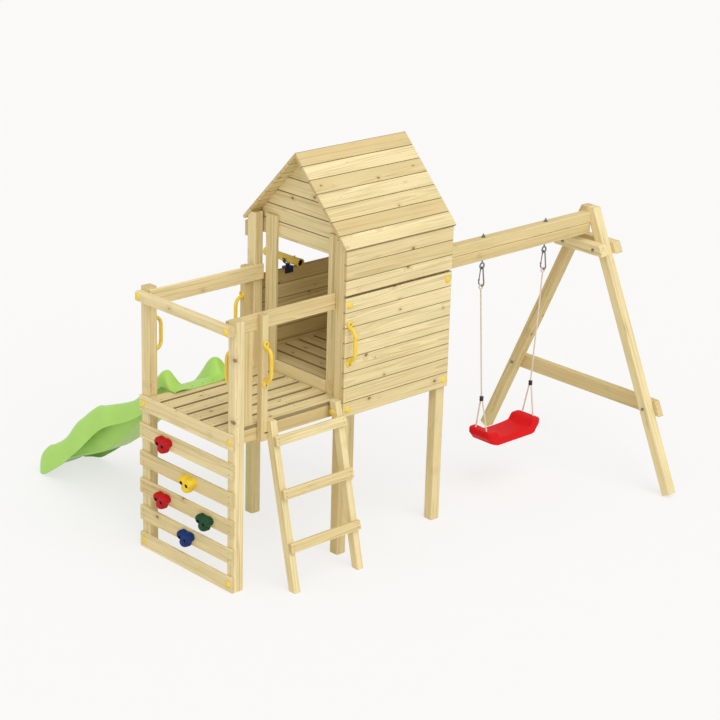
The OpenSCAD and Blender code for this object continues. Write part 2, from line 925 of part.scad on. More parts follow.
module swing_beam() {
    color("BurlyWood") for (i = [0, 1]) {
        difference() {
            translate([beam_x0, beam_y, beam_z + i * post_w]) along_x(leg_x - beam_x0)
                round_section(post_w, post_w - (1 - i) * joint);
            eye_bores();
            beam_bolt_bores();
        }
    }
}

function leg_mid(z) = leg_half + post_w / (2 * cos(lean)) - z * tan(lean);
function leg_out(z) = leg_half + post_w / cos(lean) - z * tan(lean);

module swing_bolt_bores() {
    for (side = [-1, 1]) {
        bore_x([leg_x - head_d - over, swing_y + side * leg_mid(head_bolt_z), head_bolt_z],
            post_w + 2 * head_d + 2 * over, bolt_r + bolt_slack);
        bore_x([leg_x - over, swing_y + side * leg_mid(brace_bolt_z), brace_bolt_z],
            post_w + batten_w + 2 * over, bolt_r + bolt_slack);
    }
}

module leg() {
    intersection() {
        translate([leg_x, swing_y - leg_half, 0]) rotate([-lean, 0, 0]) translate([0, -post_w, 0])
            linear_extrude(leg_l) round_section(post_w, post_w);
        translate([leg_x - over, swing_y - leg_half - 2 * post_w, -over])
            cube([post_w + 2 * over, leg_half + 2 * post_w, leg_top + over]);
    }
}

module leg_near() {
    color("BurlyWood") difference() {
        leg();
        swing_bolt_bores();
    }
}

module leg_far() {
    color("BurlyWood") difference() {
        translate([0, 2 * swing_y, 0]) mirror([0, 1, 0]) leg();
        swing_bolt_bores();
    }
}

// A plate across both legs whose ends follow their lean
module leg_plate(x, z, d, h) {
    low = leg_out(z) + plate_over;
    high = leg_out(z + h) + plate_over;
    translate([x, swing_y, z]) along_x(d) polygon([[-low, 0], [low, 0], [high, h], [-high, h]]);
}

module head_plates() {
    color("BurlyWood") difference() {
        union() {
            leg_plate(leg_x - head_d, head_z, head_d, head_h);
            leg_plate(leg_x + post_w, head_z, head_d, head_h);
        }
        swing_bolt_bores();
    }
}

module cross_brace() {
    color("BurlyWood") difference() {
        leg_plate(leg_x + post_w, brace_z, batten_w, board_h);
        swing_bolt_bores();
    }
}

module eye_bolts() {
    top = beam_top + washer_t + nut_h + eye_thread;
    color("DimGray") for (x = eyes_x) {
        translate([x, swing_y, eye_z]) rotate([90, 0, 0]) rotate_extrude($fn = eye_facets)
            translate([eye_ring_r, 0])
            circle(eye_wire_r);
        translate([x, swing_y, eye_z + eye_ring_r]) cylinder(h = top - eye_z - eye_ring_r, r = eye_wire_r);
        translate([x, swing_y, beam_z - washer_t]) cylinder(h = washer_t, r = washer_r);
    }
}

module eye_nuts() {
    color("Silver") for (x = eyes_x) {
        translate([x, swing_y, beam_top]) difference() {
            union() {
                cylinder(h = washer_t, r = washer_r);
                translate([0, 0, washer_t]) cylinder(h = nut_h, r = nut_r, $fn = nut_sides);
            }
            translate([0, 0, -over]) cylinder(h = washer_t + nut_h + 2 * over, r = eye_wire_r + bolt_slack);
        }
    }
}

// Snap hook in the YZ plane, hung with its upper bend round the eye: path points from nose to pivot
function hook_arc(z, r, a0, a1, n) = [
    for (i = [0 : n]) let (a = a0 + (a1 - a0) * i / n) [0, r * cos(a), z + r * sin(a)]
];
nose_share = 0.18;
pivot_share = 0.92;
tangent_top = [0, hook_top_r * cos(hook_flare), hook_top_r * sin(hook_flare)];
tangent_low = [0, hook_bend_r * cos(hook_flare), hook_low + hook_bend_r * sin(hook_flare)];
hook_nose = tangent_top + nose_share * (tangent_low - tangent_top);
hook_pivot = tangent_top + pivot_share * (tangent_low - tangent_top);
hook_path = concat(
    [hook_nose],
    hook_arc(0, hook_top_r, hook_flare, 180 - hook_flare, hook_steps),
    hook_arc(hook_low, hook_bend_r, 180 - hook_flare, 360 - hook_flare, hook_steps)
);
gate_dir = unit(hook_nose - hook_pivot);
lug_r = 2 * gate_pin_r;
lug_t = hook_wire_r * 2 / 3;
cheek_t = lug_t;
gate_cheek_x = lug_t / 2 + gate_side;

module hook(x) {
    lug_from = hook_path[len(hook_path) - 1];
    translate([x, swing_y, pivot_z]) {
        tube(hook_path, [1, 0, 0], hook_wire_r);
        hull() {
            translate(hook_pivot) rotate([0, 90, 0]) cylinder(h = lug_t, r = lug_r, center = true);
            translate(lug_from) rotate([0, 90, 0]) cylinder(h = lug_t, r = lug_r, center = true);
        }
        translate(hook_pivot) rotate([0, 90, 0])
            cylinder(h = 2 * (gate_cheek_x + cheek_t + gate_side), r = gate_pin_r, center = true);
    }
}

module hook_left() {
    color("Gray") hook(eyes_x[0]);
}

module hook_right() {
    color("Gray") hook(eyes_x[1]);
}

// Gate rod with two cheeks on the hook's pin, closing against the nose
module gate(x) {
    l = norm(hook_nose - hook_pivot) - gate_side;
    tilt = atan2(gate_dir[1], gate_dir[2]);
    start = lug_r + gate_side + gate_r;
    translate([x, swing_y, pivot_z]) translate(hook_pivot) rotate([-tilt, 0, 0]) difference() {
        union() {
            translate([0, 0, start]) cylinder(h = l - start, r = gate_r);
            for (side = [-1, 1]) {
                translate([side * (gate_cheek_x + cheek_t / 2), 0, 0]) {
                    rotate([0, 90, 0]) cylinder(h = cheek_t, r = lug_r, center = true);
                    translate([-cheek_t / 2, -lug_r / 2, 0]) cube([cheek_t, lug_r, start + gate_r]);
                }
            }
            translate([-gate_cheek_x - cheek_t, -lug_r / 2, start])
                cube([2 * (gate_cheek_x + cheek_t), lug_r, gate_r]);
        }
        bore_x([-gate_cheek_x - cheek_t - over, 0, 0], 2 * (gate_cheek_x + cheek_t + over),
            gate_pin_r + gate_slack);
    }
}

module gate_left() {
    color("Silver") gate(eyes_x[0]);
}

module gate_right() {
    color("Silver") gate(eyes_x[1]);
}

// Ropes: eye round the hook, stretch to the collar, two branches through the seat and their knots
function collar_x(side) = swing_mid + side * (eye_pitch / 2 - rope_lean);
function hole_x(side) = swing_mid + side * seat_pitch / 2;
function branch_top(side, s) = [collar_x(side), swing_y + s * (rope_d / 2 + rope_slack), collar_z];
function branch_foot(side, s) = [hole_x(side), swing_y + s * seat_hole_pitch / 2, seat_low - knot_h / 2];

// A straight rod from one point to another
module rod(a, b, r) {
    v = b - a;
    flat = norm([v[0], v[1]]);
    translate(a) rotate([0, atan2(flat, v[2]), atan2(v[1], v[0])]) cylinder(h = norm(v), r = r);
}

module collar(side) {
    translate([collar_x(side), swing_y, collar_z - collar_h / 2]) cylinder(h = collar_h, r = collar_r);
}

module rope(side) {
    top = [swing_mid + side * eye_pitch / 2, swing_y, rope_top_z];
    low = [collar_x(side), swing_y, collar_z];
    difference() {
        union() {
            translate([top[0], swing_y, rope_eye_z]) rotate([90, 0, 0]) rotate_extrude()
                translate([rope_eye_r, 0])
                circle(rope_d / 2);
            rod(top, low, rope_d / 2);
        }
        collar(side);
    }
    for (s = [-1, 1]) {
        difference() {
            union() {
                rod(branch_top(side, s), branch_foot(side, s), rope_d / 2);
                translate(branch_foot(side, s) - [0, 0, knot_h / 2]) cylinder(h = knot_h, r = knot_r);
            }
            collar(side);
        }
    }
}

module rope_left() {
    color("Tan") rope(-1);
}

module rope_right() {
    color("Tan") rope(1);
}

module rope_collars() {
    color("DarkSlateGray") for (side = [-1, 1]) {
        collar(side);
    }
}

// Seat: a moulded shell with raised ends, open below; the line runs along its top, sunk by a wall
function seat_top(wall) = [
    [-seat_half + wall, -wall],
    [-seat_x1 - wall, -wall],
    [-seat_x0 - wall, -seat_rise - wall],
    [0, -seat_rise - seat_dip - wall],
    [seat_x0 + wall, -seat_rise - wall],
    [seat_x1 + wall, -wall],
    [seat_half - wall, -wall]
];
seat_skirt = [
    [seat_half, -seat_end_h],
    [seat_half - seat_lean, -seat_lean_h],
    [seat_half - seat_sweep, -seat_h],
    [seat_sweep - seat_half, -seat_h],
    [seat_lean - seat_half, -seat_lean_h],
    [-seat_half, -seat_end_h]
];
seat_in = seat_half - seat_t;
seat_foot = seat_in - seat_lean * (seat_h + over - seat_end_h) / (seat_lean_h - seat_end_h);
seat_pocket = [
    [seat_in, -seat_end_h],
    [seat_foot, -seat_h - over],
    [-seat_foot, -seat_h - over],
    [-seat_in, -seat_end_h]
];

module seat_prism(w, line) {
    translate([0, w / 2, 0]) rotate([90, 0, 0]) linear_extrude(w) polygon(line);
}

module swing_seat() {
    color("Red") difference() {
        translate([swing_mid, swing_y, seat_z]) difference() {
            seat_prism(seat_w, concat(seat_top(0), seat_skirt));
            seat_prism(seat_w - 2 * seat_t, concat(seat_top(seat_t), seat_pocket));
        }
        for (side = [-1, 1], s = [-1, 1]) {
            rod(branch_top(side, s), branch_foot(side, s), rope_d / 2 + rope_slack);
        }
    }
}

// Ladder

module ladder_bolt_bores() {
    for (x = [ladder_x0, ladder_x1]) {
        bore_x([x - over, ladder_bolt[0], ladder_bolt[1]], batten_w + 2 * over, bolt_r + bolt_slack);
    }
}

module ladder_sides() {
    color("BurlyWood") difference() {
        for (x = [ladder_x0, ladder_x1]) {
            translate([x, 0, 0]) along_x(batten_w)
                polygon([
                    [-ladder_run, 0], [ladder_flat - ladder_run, 0], [ladder_flat, ladder_top], [0, ladder_top]
                ]);
        }
        ladder_bolt_bores();
    }
}

module ladder_rungs() {
    color("BurlyWood") for (i = [0 : rung_count - 1]) {
        z = rung_z + i * rung_pitch;
        translate([ladder_x0, -ladder_run + z * tan(ladder_lean), z]) rotate([-ladder_lean, 0, 0])
            translate([0, -rung_t, 0]) board_x([0, 0, 0], ladder_x1 + batten_w - ladder_x0, rung_t, rung_h);
    }
}

// Slide: stations run between the table rows on smooth curves
function curve(a, b, c, d, t) = (2 * b + (c - a) * t + (2 * a - 5 * b + 4 * c - d) * t * t
    + (3 * b - a - 3 * c + d) * t * t * t) / 2;
function slide_row(i) = slide_shares[min(max(i, 0), len(slide_shares) - 1)];
function slide_at(i, t) = [
    for (k = [0 : len(slide_row(i)) - 1])
        curve(slide_row(i - 1)[k], slide_row(i)[k], slide_row(i + 1)[k], slide_row(i + 2)[k], t)
];
slide_table = concat(
    [for (i = [0 : len(slide_shares) - 2], j = [0 : slide_steps - 1]) slide_at(i, j / slide_steps)],
    [slide_row(len(slide_shares) - 1)]
);
function rim_pt(s, i) = let (
    q = section_shares[i],
    floor = s[1] * deck_z + slide_t
) [s[4] * q[0] * slide_half, floor + q[1] * (s[2] - s[1]) * deck_z - q[2] * s[3] * slide_skirt];
function wall_pt(s, i) = rim_pt(s, i) + slide_t * section_in_shares[i];
function half_loop(s) = concat(
    [for (i = [0 : len(section_shares) - 1]) rim_pt(s, i)],
    [for (i = [len(section_shares) - 1 : -1 : 0]) let (w = wall_pt(s, i)) [w[0], max(w[1], 0)]]
);
function slide_loop(s) = let (
    n = len(section_shares),
    h = half_loop(s),
    upper = concat([for (i = [0 : n - 1]) h[i]], [for (i = [n - 1 : -1 : 0]) [-h[i][0], h[i][1]]]),
    lower = concat([for (i = [2 * n - 1 : -1 : n]) [-h[i][0], h[i][1]]], [for (i = [n : 2 * n - 1]) h[i]])
) [for (p = concat(upper, lower)) [slide_x + p[0], slide_y0 + s[0] * (slide_y1 - slide_y0), p[1]]];

module slide() {
    m = 4 * len(section_shares);
    n = len(slide_table);
    points = [for (s = slide_table) each slide_loop(s)];
    half = m / 2;
    ends = [
        for (k = [0 : half - 2]) [k + 1, k, m - 1 - k, m - 2 - k],
        for (k = [0 : half - 2]) [for (q = [k, k + 1, m - 2 - k, m - 1 - k]) (n - 1) * m + q]
    ];
    color("YellowGreen") difference() {
        polyhedron(points = points, faces = concat(ring_faces(n, m), ends));
        slide_screw_shanks(bolt_slack);
    }
}

module slide_screw_shanks(slack) {
    for (share = flange_screw_shares) {
        translate([slide_x + share * slide_half, slide_y0 + slide_flange / 2, deck_z - slide_screw_l])
            cylinder(h = slide_screw_l + slide_t + over, r = bolt_r / 2 + slack);
    }
}

// Telescope on the far wall

module telescope_base() {
    color("MidnightBlue") translate([scope_mid - scope_base_w / 2, frame_d - scope_lip_t, far_top]) {
        cube([scope_base_w, clad_t + 2 * scope_lip_t, scope_base_h]);
        for (y = [0, clad_t + scope_lip_t]) {
            translate([0, y, -scope_lip]) cube([scope_base_w, scope_lip_t, scope_lip + scope_base_h]);
        }
        translate([scope_base_w / 2, clad_t / 2 + scope_lip_t, 0])
            cylinder(h = scope_z - yoke_out + yoke_t / 2, r = pan_pin_r);
    }
}

module telescope_yoke() {
    color("MidnightBlue") translate([scope_mid, scope_y, tilt_z]) difference() {
        union() {
            translate([0, yoke_w / 2, 0]) rotate([90, 0, 0]) linear_extrude(yoke_w) difference() {
                union() {
                    circle(yoke_out, $fn = yoke_facets);
                    translate([-yoke_out, 0]) square([2 * yoke_out, 2 * tilt_pin_r]);
                }
                circle(yoke_in, $fn = yoke_facets);
                translate([-yoke_in, 0]) square([2 * yoke_in, 2 * yoke_out]);
                translate([-2 * yoke_out, 2 * tilt_pin_r]) square([4 * yoke_out, 2 * yoke_out]);
            }
            difference() {
                translate([0, 0, pan_z - tilt_z]) cylinder(h = tilt_z - pan_z - yoke_in, r = pan_boss_r);
                bore_y([0, -yoke_out, 0], 2 * yoke_out, yoke_in);
            }
        }
        translate([0, 0, pan_z - tilt_z - over])
            cylinder(h = over + tilt_z - pan_z - yoke_out + yoke_t / 2 + pan_gap, r = pan_pin_r + turn_slack);
        bore_x([-2 * yoke_out, 0, 0], 4 * yoke_out, tilt_pin_r + turn_slack);
    }
}

module telescope_tube() {
    color("Gold") translate([scope_mid, scope_y, tilt_z]) difference() {
        union() {
            bore_y([0, -scope_in, 0], scope_in + scope_out, scope_r);
            bore_y([0, scope_out - scope_ring_l, 0], scope_ring_l, scope_r + scope_ring);
            bore_y([0, -scope_in, 0], scope_ring_l / 2, scope_r + scope_ring / 2);
            bore_x([-yoke_out - scope_wall, 0, 0], 2 * (yoke_out + scope_wall), tilt_pin_r);
            translate([0, -scope_in / 2, 0]) cylinder(h = scope_r + scope_knob_h, r = scope_knob_r);
        }
        bore_y([0, -scope_in - over, 0], scope_in + scope_out + 2 * over, scope_r - scope_wall);
    }
}

// Handles: a squared bow whose feet flare against the timber; local -Y is outwards
handle_path = [
    for (i = [0 : handle_steps])
        let (a = 180 * i / handle_steps, c = cos(a), s = sin(a))
        [0, -handle_bow * pow(abs(s), 2 / bow_power), sign(c) * handle_half * pow(abs(c), 2 / bow_power)]
];
handle_dirs = [
    for (i = [0 : handle_steps])
        i == 0 ? [0, -1, 0] : i == handle_steps ? [0, 1, 0] : path_dir(handle_path, i)
];
handle_radii = [
    for (i = [0 : handle_steps])
        handle_r + handle_flare * pow(abs(cos(180 * i / handle_steps)), flare_power)
];

module handle() {
    sweep(handle_path, handle_dirs, [1, 0, 0], handle_radii);
}

module handles_ladder() {
    z = deck_z + handle_z;
    color("Gold") {
        translate([ladder_post_x + batten_w / 2, y_in0 - batten_w, z]) handle();
        translate([panel_cap_x[0], -clad_t, z]) handle();
    }
}

module handles_deck() {
    z = deck_z + handle_z;
    color("Gold") {
        translate([post_w, frame_d - post_w / 2, z]) rotate([0, 0, 90]) handle();
        translate([slide_post_x, y_in1 + batten_w / 2, z]) rotate([0, 0, -90]) handle();
        translate([post_w / 2, y_in0, z]) rotate([0, 0, 180]) handle();
    }
}

// Bolts with round caps: shank along local +Z from the cap's seat
module capped_bolt(l) {
    big = (cap_r * cap_r + cap_h * cap_h) / (2 * cap_h);
    rotate_extrude() intersection() {
        translate([0, big - cap_h]) circle(big, $fn = cap_facets);
        translate([0, -cap_h]) square([cap_r, cap_h]);
    }
    cylinder(h = l, r = bolt_r);
}

module capped_bolts() {
    color("Gold") {
        for (y = wall_cap_y) {
            for (z = wall_cap_z) {
                translate([-board_t, y, z]) rotate([0, 90, 0]) capped_bolt(board_t + bolt_bite);
            }
            translate([-top_rail_d, y, rail_cap_z]) rotate([0, 90, 0]) capped_bolt(top_rail_d + bolt_bite);
        }
        for (x = panel_cap_x) {
            for (z = panel_cap_z) {
                translate([x, -clad_t, z]) rotate([-90, 0, 0]) capped_bolt(clad_t + bolt_bite);
            }
        }
        translate([ladder_x1, ladder_bolt[0], ladder_bolt[1]]) rotate([0, 90, 0])
            capped_bolt(batten_w / 2 + bolt_bite);
        translate([ladder_x0 + batten_w, ladder_bolt[0], ladder_bolt[1]]) rotate([0, -90, 0])
            capped_bolt(batten_w + bolt_bite / 2 - over);
    }
}

// Through bolts of the swing: head at the start, nut at the end, along local +Z
module through_bolt(l) {
    translate([0, 0, -nut_h]) cylinder(h = nut_h, r = nut_r, $fn = nut_sides);
    cylinder(h = l + nut_h + over, r = bolt_r);
    translate([0, 0, l]) cylinder(h = nut_h, r = nut_r, $fn = nut_sides);
}

module swing_bolts() {
    color("Silver") {
        for (side = [-1, 1]) {
            translate([leg_x - head_d, swing_y + side * leg_mid(head_bolt_z), head_bolt_z])
                rotate([0, 90, 0])
                through_bolt(post_w + 2 * head_d);
            translate([leg_x, swing_y + side * leg_mid(brace_bolt_z), brace_bolt_z]) rotate([0, 90, 0])
                through_bolt(post_w + batten_w);
        }
        for (z = [beam_z + post_w / 2, beam_z + post_w * 3 / 2]) {
            translate([beam_x0 + post_w / 2, over, z]) rotate([-90, 0, 0])
                cylinder(h = 2 * post_w, r = bolt_r);
            translate([beam_x0 + post_w / 2, 2 * post_w, z]) rotate([-90, 0, 0])
                cylinder(h = nut_h, r = nut_r, $fn = nut_sides);
        }
    }
}

module placed() {
    translate(-mid) children();
}

placed() post_wall_near();
placed() post_wall_far();
placed() post_door_near();
placed() post_door_far();
placed() post_swing_near();
placed() post_swing_far();
placed() climbing_boards();
placed() holds_red();
placed() hold_yellow();
placed() hold_green();
placed() hold_blue();
placed() wall_rail();
placed() guard_rail_near();
placed() guard_rail_far();
placed() infill_board();
placed() ladder_post();
placed() slide_post();
placed() deck_rims();
placed() deck_joists();
placed() deck_boards();
placed() floor_bearers();
placed() floor_boards();
placed() step_board();
placed() door_jambs();
placed() panel_near_lower();
placed() panel_near_upper();
placed() panel_far();
placed() eave_board_far();
placed() panel_swing();
placed() gable_door();
placed() gable_swing();
placed() wall_plates();
placed() rafters();
placed() roof_near();
placed() roof_far();
placed() swing_beam();
placed() leg_near();
placed() leg_far();
placed() head_plates();
placed() cross_brace();
placed() eye_bolts();
placed() eye_nuts();
placed() hook_left();
placed() hook_right();
placed() gate_left();
placed() gate_right();
placed() rope_left();
placed() rope_right();
placed() rope_collars();
placed() swing_seat();
placed() ladder_sides();
placed() ladder_rungs();
placed() slide();
placed() telescope_base();
placed() telescope_yoke();
placed() telescope_tube();
placed() handles_ladder();
placed() handles_deck();
placed() capped_bolts();
placed() swing_bolts();
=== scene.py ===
"""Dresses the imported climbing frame: pine boards, moulded plastic, rope, steel and the studio round it."""

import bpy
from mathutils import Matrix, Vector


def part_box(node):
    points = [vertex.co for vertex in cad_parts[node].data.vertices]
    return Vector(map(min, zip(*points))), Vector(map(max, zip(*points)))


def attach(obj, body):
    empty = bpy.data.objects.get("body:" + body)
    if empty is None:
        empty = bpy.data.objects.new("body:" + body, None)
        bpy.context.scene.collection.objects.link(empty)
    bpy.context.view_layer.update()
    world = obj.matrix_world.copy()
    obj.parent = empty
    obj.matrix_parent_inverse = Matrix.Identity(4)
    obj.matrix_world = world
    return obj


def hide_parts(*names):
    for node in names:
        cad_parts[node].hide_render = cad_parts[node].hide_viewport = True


bl_info = {
    "name": "Wooden climbing frame",
    "version": (1, 0, 0),
    "blender": (4, 5, 0),
    "location": "View3D > Sidebar > Climbing frame",
    "description": "Dresses the packed climbing frame in pine, moulded plastic, rope and steel",
    "category": "Object",
}

import math
import random

import bmesh
import bpy
import numpy as np
from bpy.props import FloatProperty, FloatVectorProperty, PointerProperty
from mathutils import Matrix, Vector

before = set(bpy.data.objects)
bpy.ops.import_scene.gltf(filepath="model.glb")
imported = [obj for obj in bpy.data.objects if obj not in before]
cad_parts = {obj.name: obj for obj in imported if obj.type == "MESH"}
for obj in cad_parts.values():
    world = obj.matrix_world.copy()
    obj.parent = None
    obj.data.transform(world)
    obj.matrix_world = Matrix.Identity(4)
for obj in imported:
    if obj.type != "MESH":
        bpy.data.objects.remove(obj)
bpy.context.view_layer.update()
# The near foot of the climbing wall is the corner that all places below are measured from, in metres
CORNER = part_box("post_wall_near")[0]

# Words for the two ropes, and for the two branches of each with their way across the site
SIDES = ("left", "right")
WAYS = ((-1, "near"), (1, "far"))

# Swing, as in the part's source
SWING_Y = 0.105
EYES_X = (2.083, 2.657)
ROPE_EYE_Z = 1.431
ROPE_EYE_R = 0.015
COLLARS_X = (2.139, 2.601)
COLLAR_Z = 0.668
COLLAR_R = 0.013
COLLAR_H = 0.03
BRANCH_OFF = 0.0059
SEAT_MID = 2.37
SEAT_TOP = 0.45
SEAT_HALF = (0.243, 0.101)
SEAT_WALL = 0.007
HOLES_X = (2.15, 2.59)
HOLE_REACH = 0.051
KNOT_R = 0.01
KNOT_H = 0.014

TIMBER = [
    "post_wall_near", "post_wall_far", "post_door_near", "post_door_far", "post_swing_near", "post_swing_far",
    "climbing_boards", "wall_rail", "guard_rail_near", "guard_rail_far", "infill_board", "ladder_post",
    "slide_post", "deck_rims", "deck_joists", "deck_boards", "floor_bearers", "floor_boards", "step_board",
    "door_jambs", "panel_near_lower", "panel_near_upper", "panel_far", "eave_board_far", "panel_swing",
    "gable_door", "gable_swing", "wall_plates", "rafters", "roof_near", "roof_far", "swing_beam", "leg_near",
    "leg_far", "head_plates", "cross_brace", "ladder_sides", "ladder_rungs",
]
# Boards laid edge to edge, whose edges get painted shade as dark seams
CLADDING = {
    "panel_near_lower", "panel_near_upper", "panel_far", "panel_swing", "gable_door", "gable_swing",
    "roof_near", "roof_far", "deck_boards", "floor_boards",
}
# Tone offsets, lighter below nought and darker above. The swing beam is made darker; the deck boards and the
# door gable are made lighter as painted light, standing in for more light from above on the deck and against
# the roof's shade on the gable
TONES_AND_PAINTED_LIGHT = {"deck_boards": -0.45, "gable_door": -0.5, "swing_beam": 0.3}
# Corners of the batten behind the seam of the near panels
SEAM_BATTEN = ((0.881, 0.0006, 1.627), (1.614, 0.0186, 1.668))

# Slide: stations hold shares of the length, floor, rim, skirt and width. They follow the part's source, but the
# skirt closes to the deck at the ears and to the ground at the nose, and the nose is narrower
SLIDE_X = 0.384
SLIDE_HALF = 0.236
SLIDE_Y = (0.736, 2.26)
SLIDE_WALL = 0.007
SLIDE_SKIRT = 0.2
SLIDE_EDGE = 0.0022
SLIDE_ROWS = 8
SLIDE_COLUMNS = 6
DECK_Z = 0.985
SLIDE_STATIONS = [
    (0, 1, 1.012, 0.06, 1), (0.032, 1, 1.016, 0.08, 1), (0.055, 1, 1.045, 0.2, 1),
    (0.075, 0.992, 1.082, 0.38, 1), (0.098, 0.972, 1.0945, 0.5, 1), (0.127, 0.936, 1.06, 0.61, 1),
    (0.163, 0.885, 0.985, 0.63, 1), (0.213, 0.812, 0.895, 0.63, 1), (0.285, 0.705, 0.82, 0.63, 1),
    (0.352, 0.608, 0.7665, 0.635, 1), (0.447, 0.478, 0.7085, 0.68, 1), (0.505, 0.404, 0.674, 0.77, 1),
    (0.545, 0.355, 0.654, 0.92, 1), (0.605, 0.292, 0.588, 1.02, 1), (0.646, 0.262, 0.535, 1.06, 1),
    (0.698, 0.224, 0.467, 1.06, 1), (0.773, 0.174, 0.333, 0.9, 1), (0.858, 0.112, 0.243, 0.91, 1),
    (0.912, 0.068, 0.202, 0.955, 0.985), (0.967, 0.024, 0.14, 0.724, 0.93), (1, 0, 0.07, 0.38, 0.74),
]
# Shares of the half width, of the rim's height and of the skirt
SLIDE_SECTION = [
    (1, 1, 1), (0.987, 1, 0.5), (0.94, 1, 0.2), (0.86, 1, 0.04), (0.775, 1, 0), (0.7, 0.93, 0),
    (0.6, 0.55, 0), (0.5, 0.14, 0), (0.38, 0, 0),
]
# The nose is drawn back a little past a share of the length. Then it rolls over and runs down to the ground
NOSE_FROM = 0.9
NOSE_DRAW = 0.2
NOSE_REACH = 0.029
NOSE_FALL = 0.45
NOSE_TIGHT = 0.2
NOSE_ROLL_ROWS = 6
NOSE_ROWS = 9
GROUND_GAP = 0.001
# Screws through the slide's flange into the deck
FLANGE_SCREWS_X = (-0.08, 0.0, 0.08)
FLANGE_SCREWS_Y = 0.032

# Grab handles: name, node, place on the plan and the way each one faces
HANDLE_Z = 1.355
HANDLES = [
    ("ladder", "handles_ladder", (0.2405, 0.025), (0, -1, 0)),
    ("panel", "handles_ladder", (0.845, -0.02), (0, -1, 0)),
    ("far_post", "handles_deck", (0.07, 0.835), (1, 0, 0)),
    ("slide_post", "handles_deck", (0.736, 0.8225), (-1, 0, 0)),
    ("wall_post", "handles_deck", (0.035, 0.07), (0, 1, 0)),
]

# Climbing holds: name, node, place across and up the wall, material
HOLDS = [
    ("red_high", "holds_red", (0.61596, 0.7486), "hold_red"),
    ("red_low", "holds_red", (0.63075, 0.3871), "hold_red"),
    ("yellow", "hold_yellow", (0.38889, 0.57327), "hold_yellow"),
    ("green", "hold_green", (0.23229, 0.38218), "hold_green"),
    ("blue", "hold_blue", (0.40629, 0.219655), "hold_blue"),
]

# Round bolt caps: the way they face, and their places along the site, across it and up
BOARDS_X = -0.016
RAIL_X = -0.048
PANEL_Y = -0.02
POSTS_Y = (0.035, 0.835)
LADDER_BOLT = ((0.0267,), (0.933,))
CAPS = [
    ((-1, 0, 0), (BOARDS_X,), POSTS_Y, (0.0485, 0.9365)),
    ((-1, 0, 0), (RAIL_X,), POSTS_Y, (1.608,)),
    ((0, -1, 0), (0.845, 1.65), (PANEL_Y,), (0.9445, 1.5955)),
    ((-1, 0, 0), (0.765,), *LADDER_BOLT),
    ((1, 0, 0), (0.308,), *LADDER_BOLT),
]
# Screws keep this far from the caps, and boards with a shorter half than this have none
CAP_CLEAR = 0.06
SHORT_BOARD = 0.12
# Screwed boards: node, the side they are fixed from, places along and across as shares of the half sizes
SCREWED = [
    ("climbing_boards", (-1, 0, 0), (-0.92, 0.92), (-0.45, 0.45)),
    ("deck_boards", (0, 0, 1), (-0.93, -0.33, 0.33, 0.95), (-0.5, 0.5)),
    ("floor_boards", (0, 0, 1), (-0.92, 0.92), (-0.5, 0.5)),
    ("panel_far", (0, 1, 0), (-0.92, 0.92), (0.1,)),
    ("eave_board_far", (0, 1, 0), (-0.92, 0.92), (-0.4, 0.4)),
    ("ladder_rungs", (0, -1, 0.2), (-0.92, 0.92), (-0.4, 0.4)),
]


def site(x, y, z):
    """A place measured from the near foot of the climbing wall."""
    return CORNER + Vector((x, y, z))


# Settings that a user would change


def colour(name, description, value):
    return FloatVectorProperty(
        name=name, description=description, subtype="COLOR", size=3, min=0, max=1, default=value
    )


def number(name, description, value, **limits):
    return FloatProperty(name=name, description=description, default=value, **limits)


def length(name, description, value):
    return number(name, description, value, unit="LENGTH", min=0)


class TimberLook(bpy.types.PropertyGroup):
    """Finish of the boards and posts."""

    pale: colour("Pale wood", "Early wood of the lightest boards", (0.88, 0.745, 0.42))
    warm: colour("Warm wood", "Early wood of the darkest boards", (0.685, 0.53, 0.25))
    late: colour("Late wood", "Dark side of the growth rings", (0.47, 0.315, 0.125))
    green: colour("Green tint", "Cast of the pressure treatment", (0.60, 0.58, 0.26))
    knot: colour("Knots", "Heart of the knots", (0.13, 0.065, 0.025))
    # Colour of the painted shade in the seams between boards laid edge to edge
    seam: colour("Seams", "Rough sawn edges between boards", (0.15, 0.095, 0.035))
    ring: length("Ring width", "Mean width of a growth ring", 0.0065)
    edge: length("Edge rounding", "Rounding of sawn edges", 0.0012)


class PlasticLook(bpy.types.PropertyGroup):
    """Colours of the moulded parts."""

    slide: colour("Slide", "Green of the slide", (0.43, 0.74, 0.135))
    seat: colour("Seat", "Red of the swing seat", (0.70, 0.010, 0.012))
    yellow: colour("Yellow", "Handles, caps and telescope", (0.89, 0.63, 0.06))
    navy: colour("Navy", "Telescope mount", (0.012, 0.02, 0.085))
    hold_red: colour("Red hold", "Red climbing holds", (0.50, 0.004, 0.006))
    hold_yellow: colour("Yellow hold", "Yellow climbing hold", (0.87, 0.60, 0.03))
    hold_green: colour("Green hold", "Green climbing hold", (0.008, 0.062, 0.022))
    hold_blue: colour("Blue hold", "Blue climbing hold", (0.004, 0.030, 0.165))
    # Black is the rope collars' and lens rims' own colour; on the walls of the hold wells it is painted shade
    black: colour("Black", "Rope collars and recesses", (0.012, 0.012, 0.013))


class RopeLook(bpy.types.PropertyGroup):
    """Lay and colours of the swing ropes."""

    # The strands' crowns take painted light and the valleys between them painted shade
    light: colour("Rope", "Crown of the strands", (0.90, 0.80, 0.66))
    dark: colour("Rope valleys", "Valleys between the strands", (0.58, 0.45, 0.32))
    diameter: length("Diameter", "Thickness of the rope", 0.011)
    lay: length("Lay", "Length of one turn of the strands", 0.034)


class SteelLook(bpy.types.PropertyGroup):
    """Finish of hooks, bolts and screws."""

    zinc: colour("Zinc", "Hooks, eyes, bolts and nuts", (0.30, 0.31, 0.32))
    brass: colour("Screws", "Passivated screw heads", (0.50, 0.40, 0.20))
    screw: length("Screw head", "Diameter of a screw head", 0.0075)


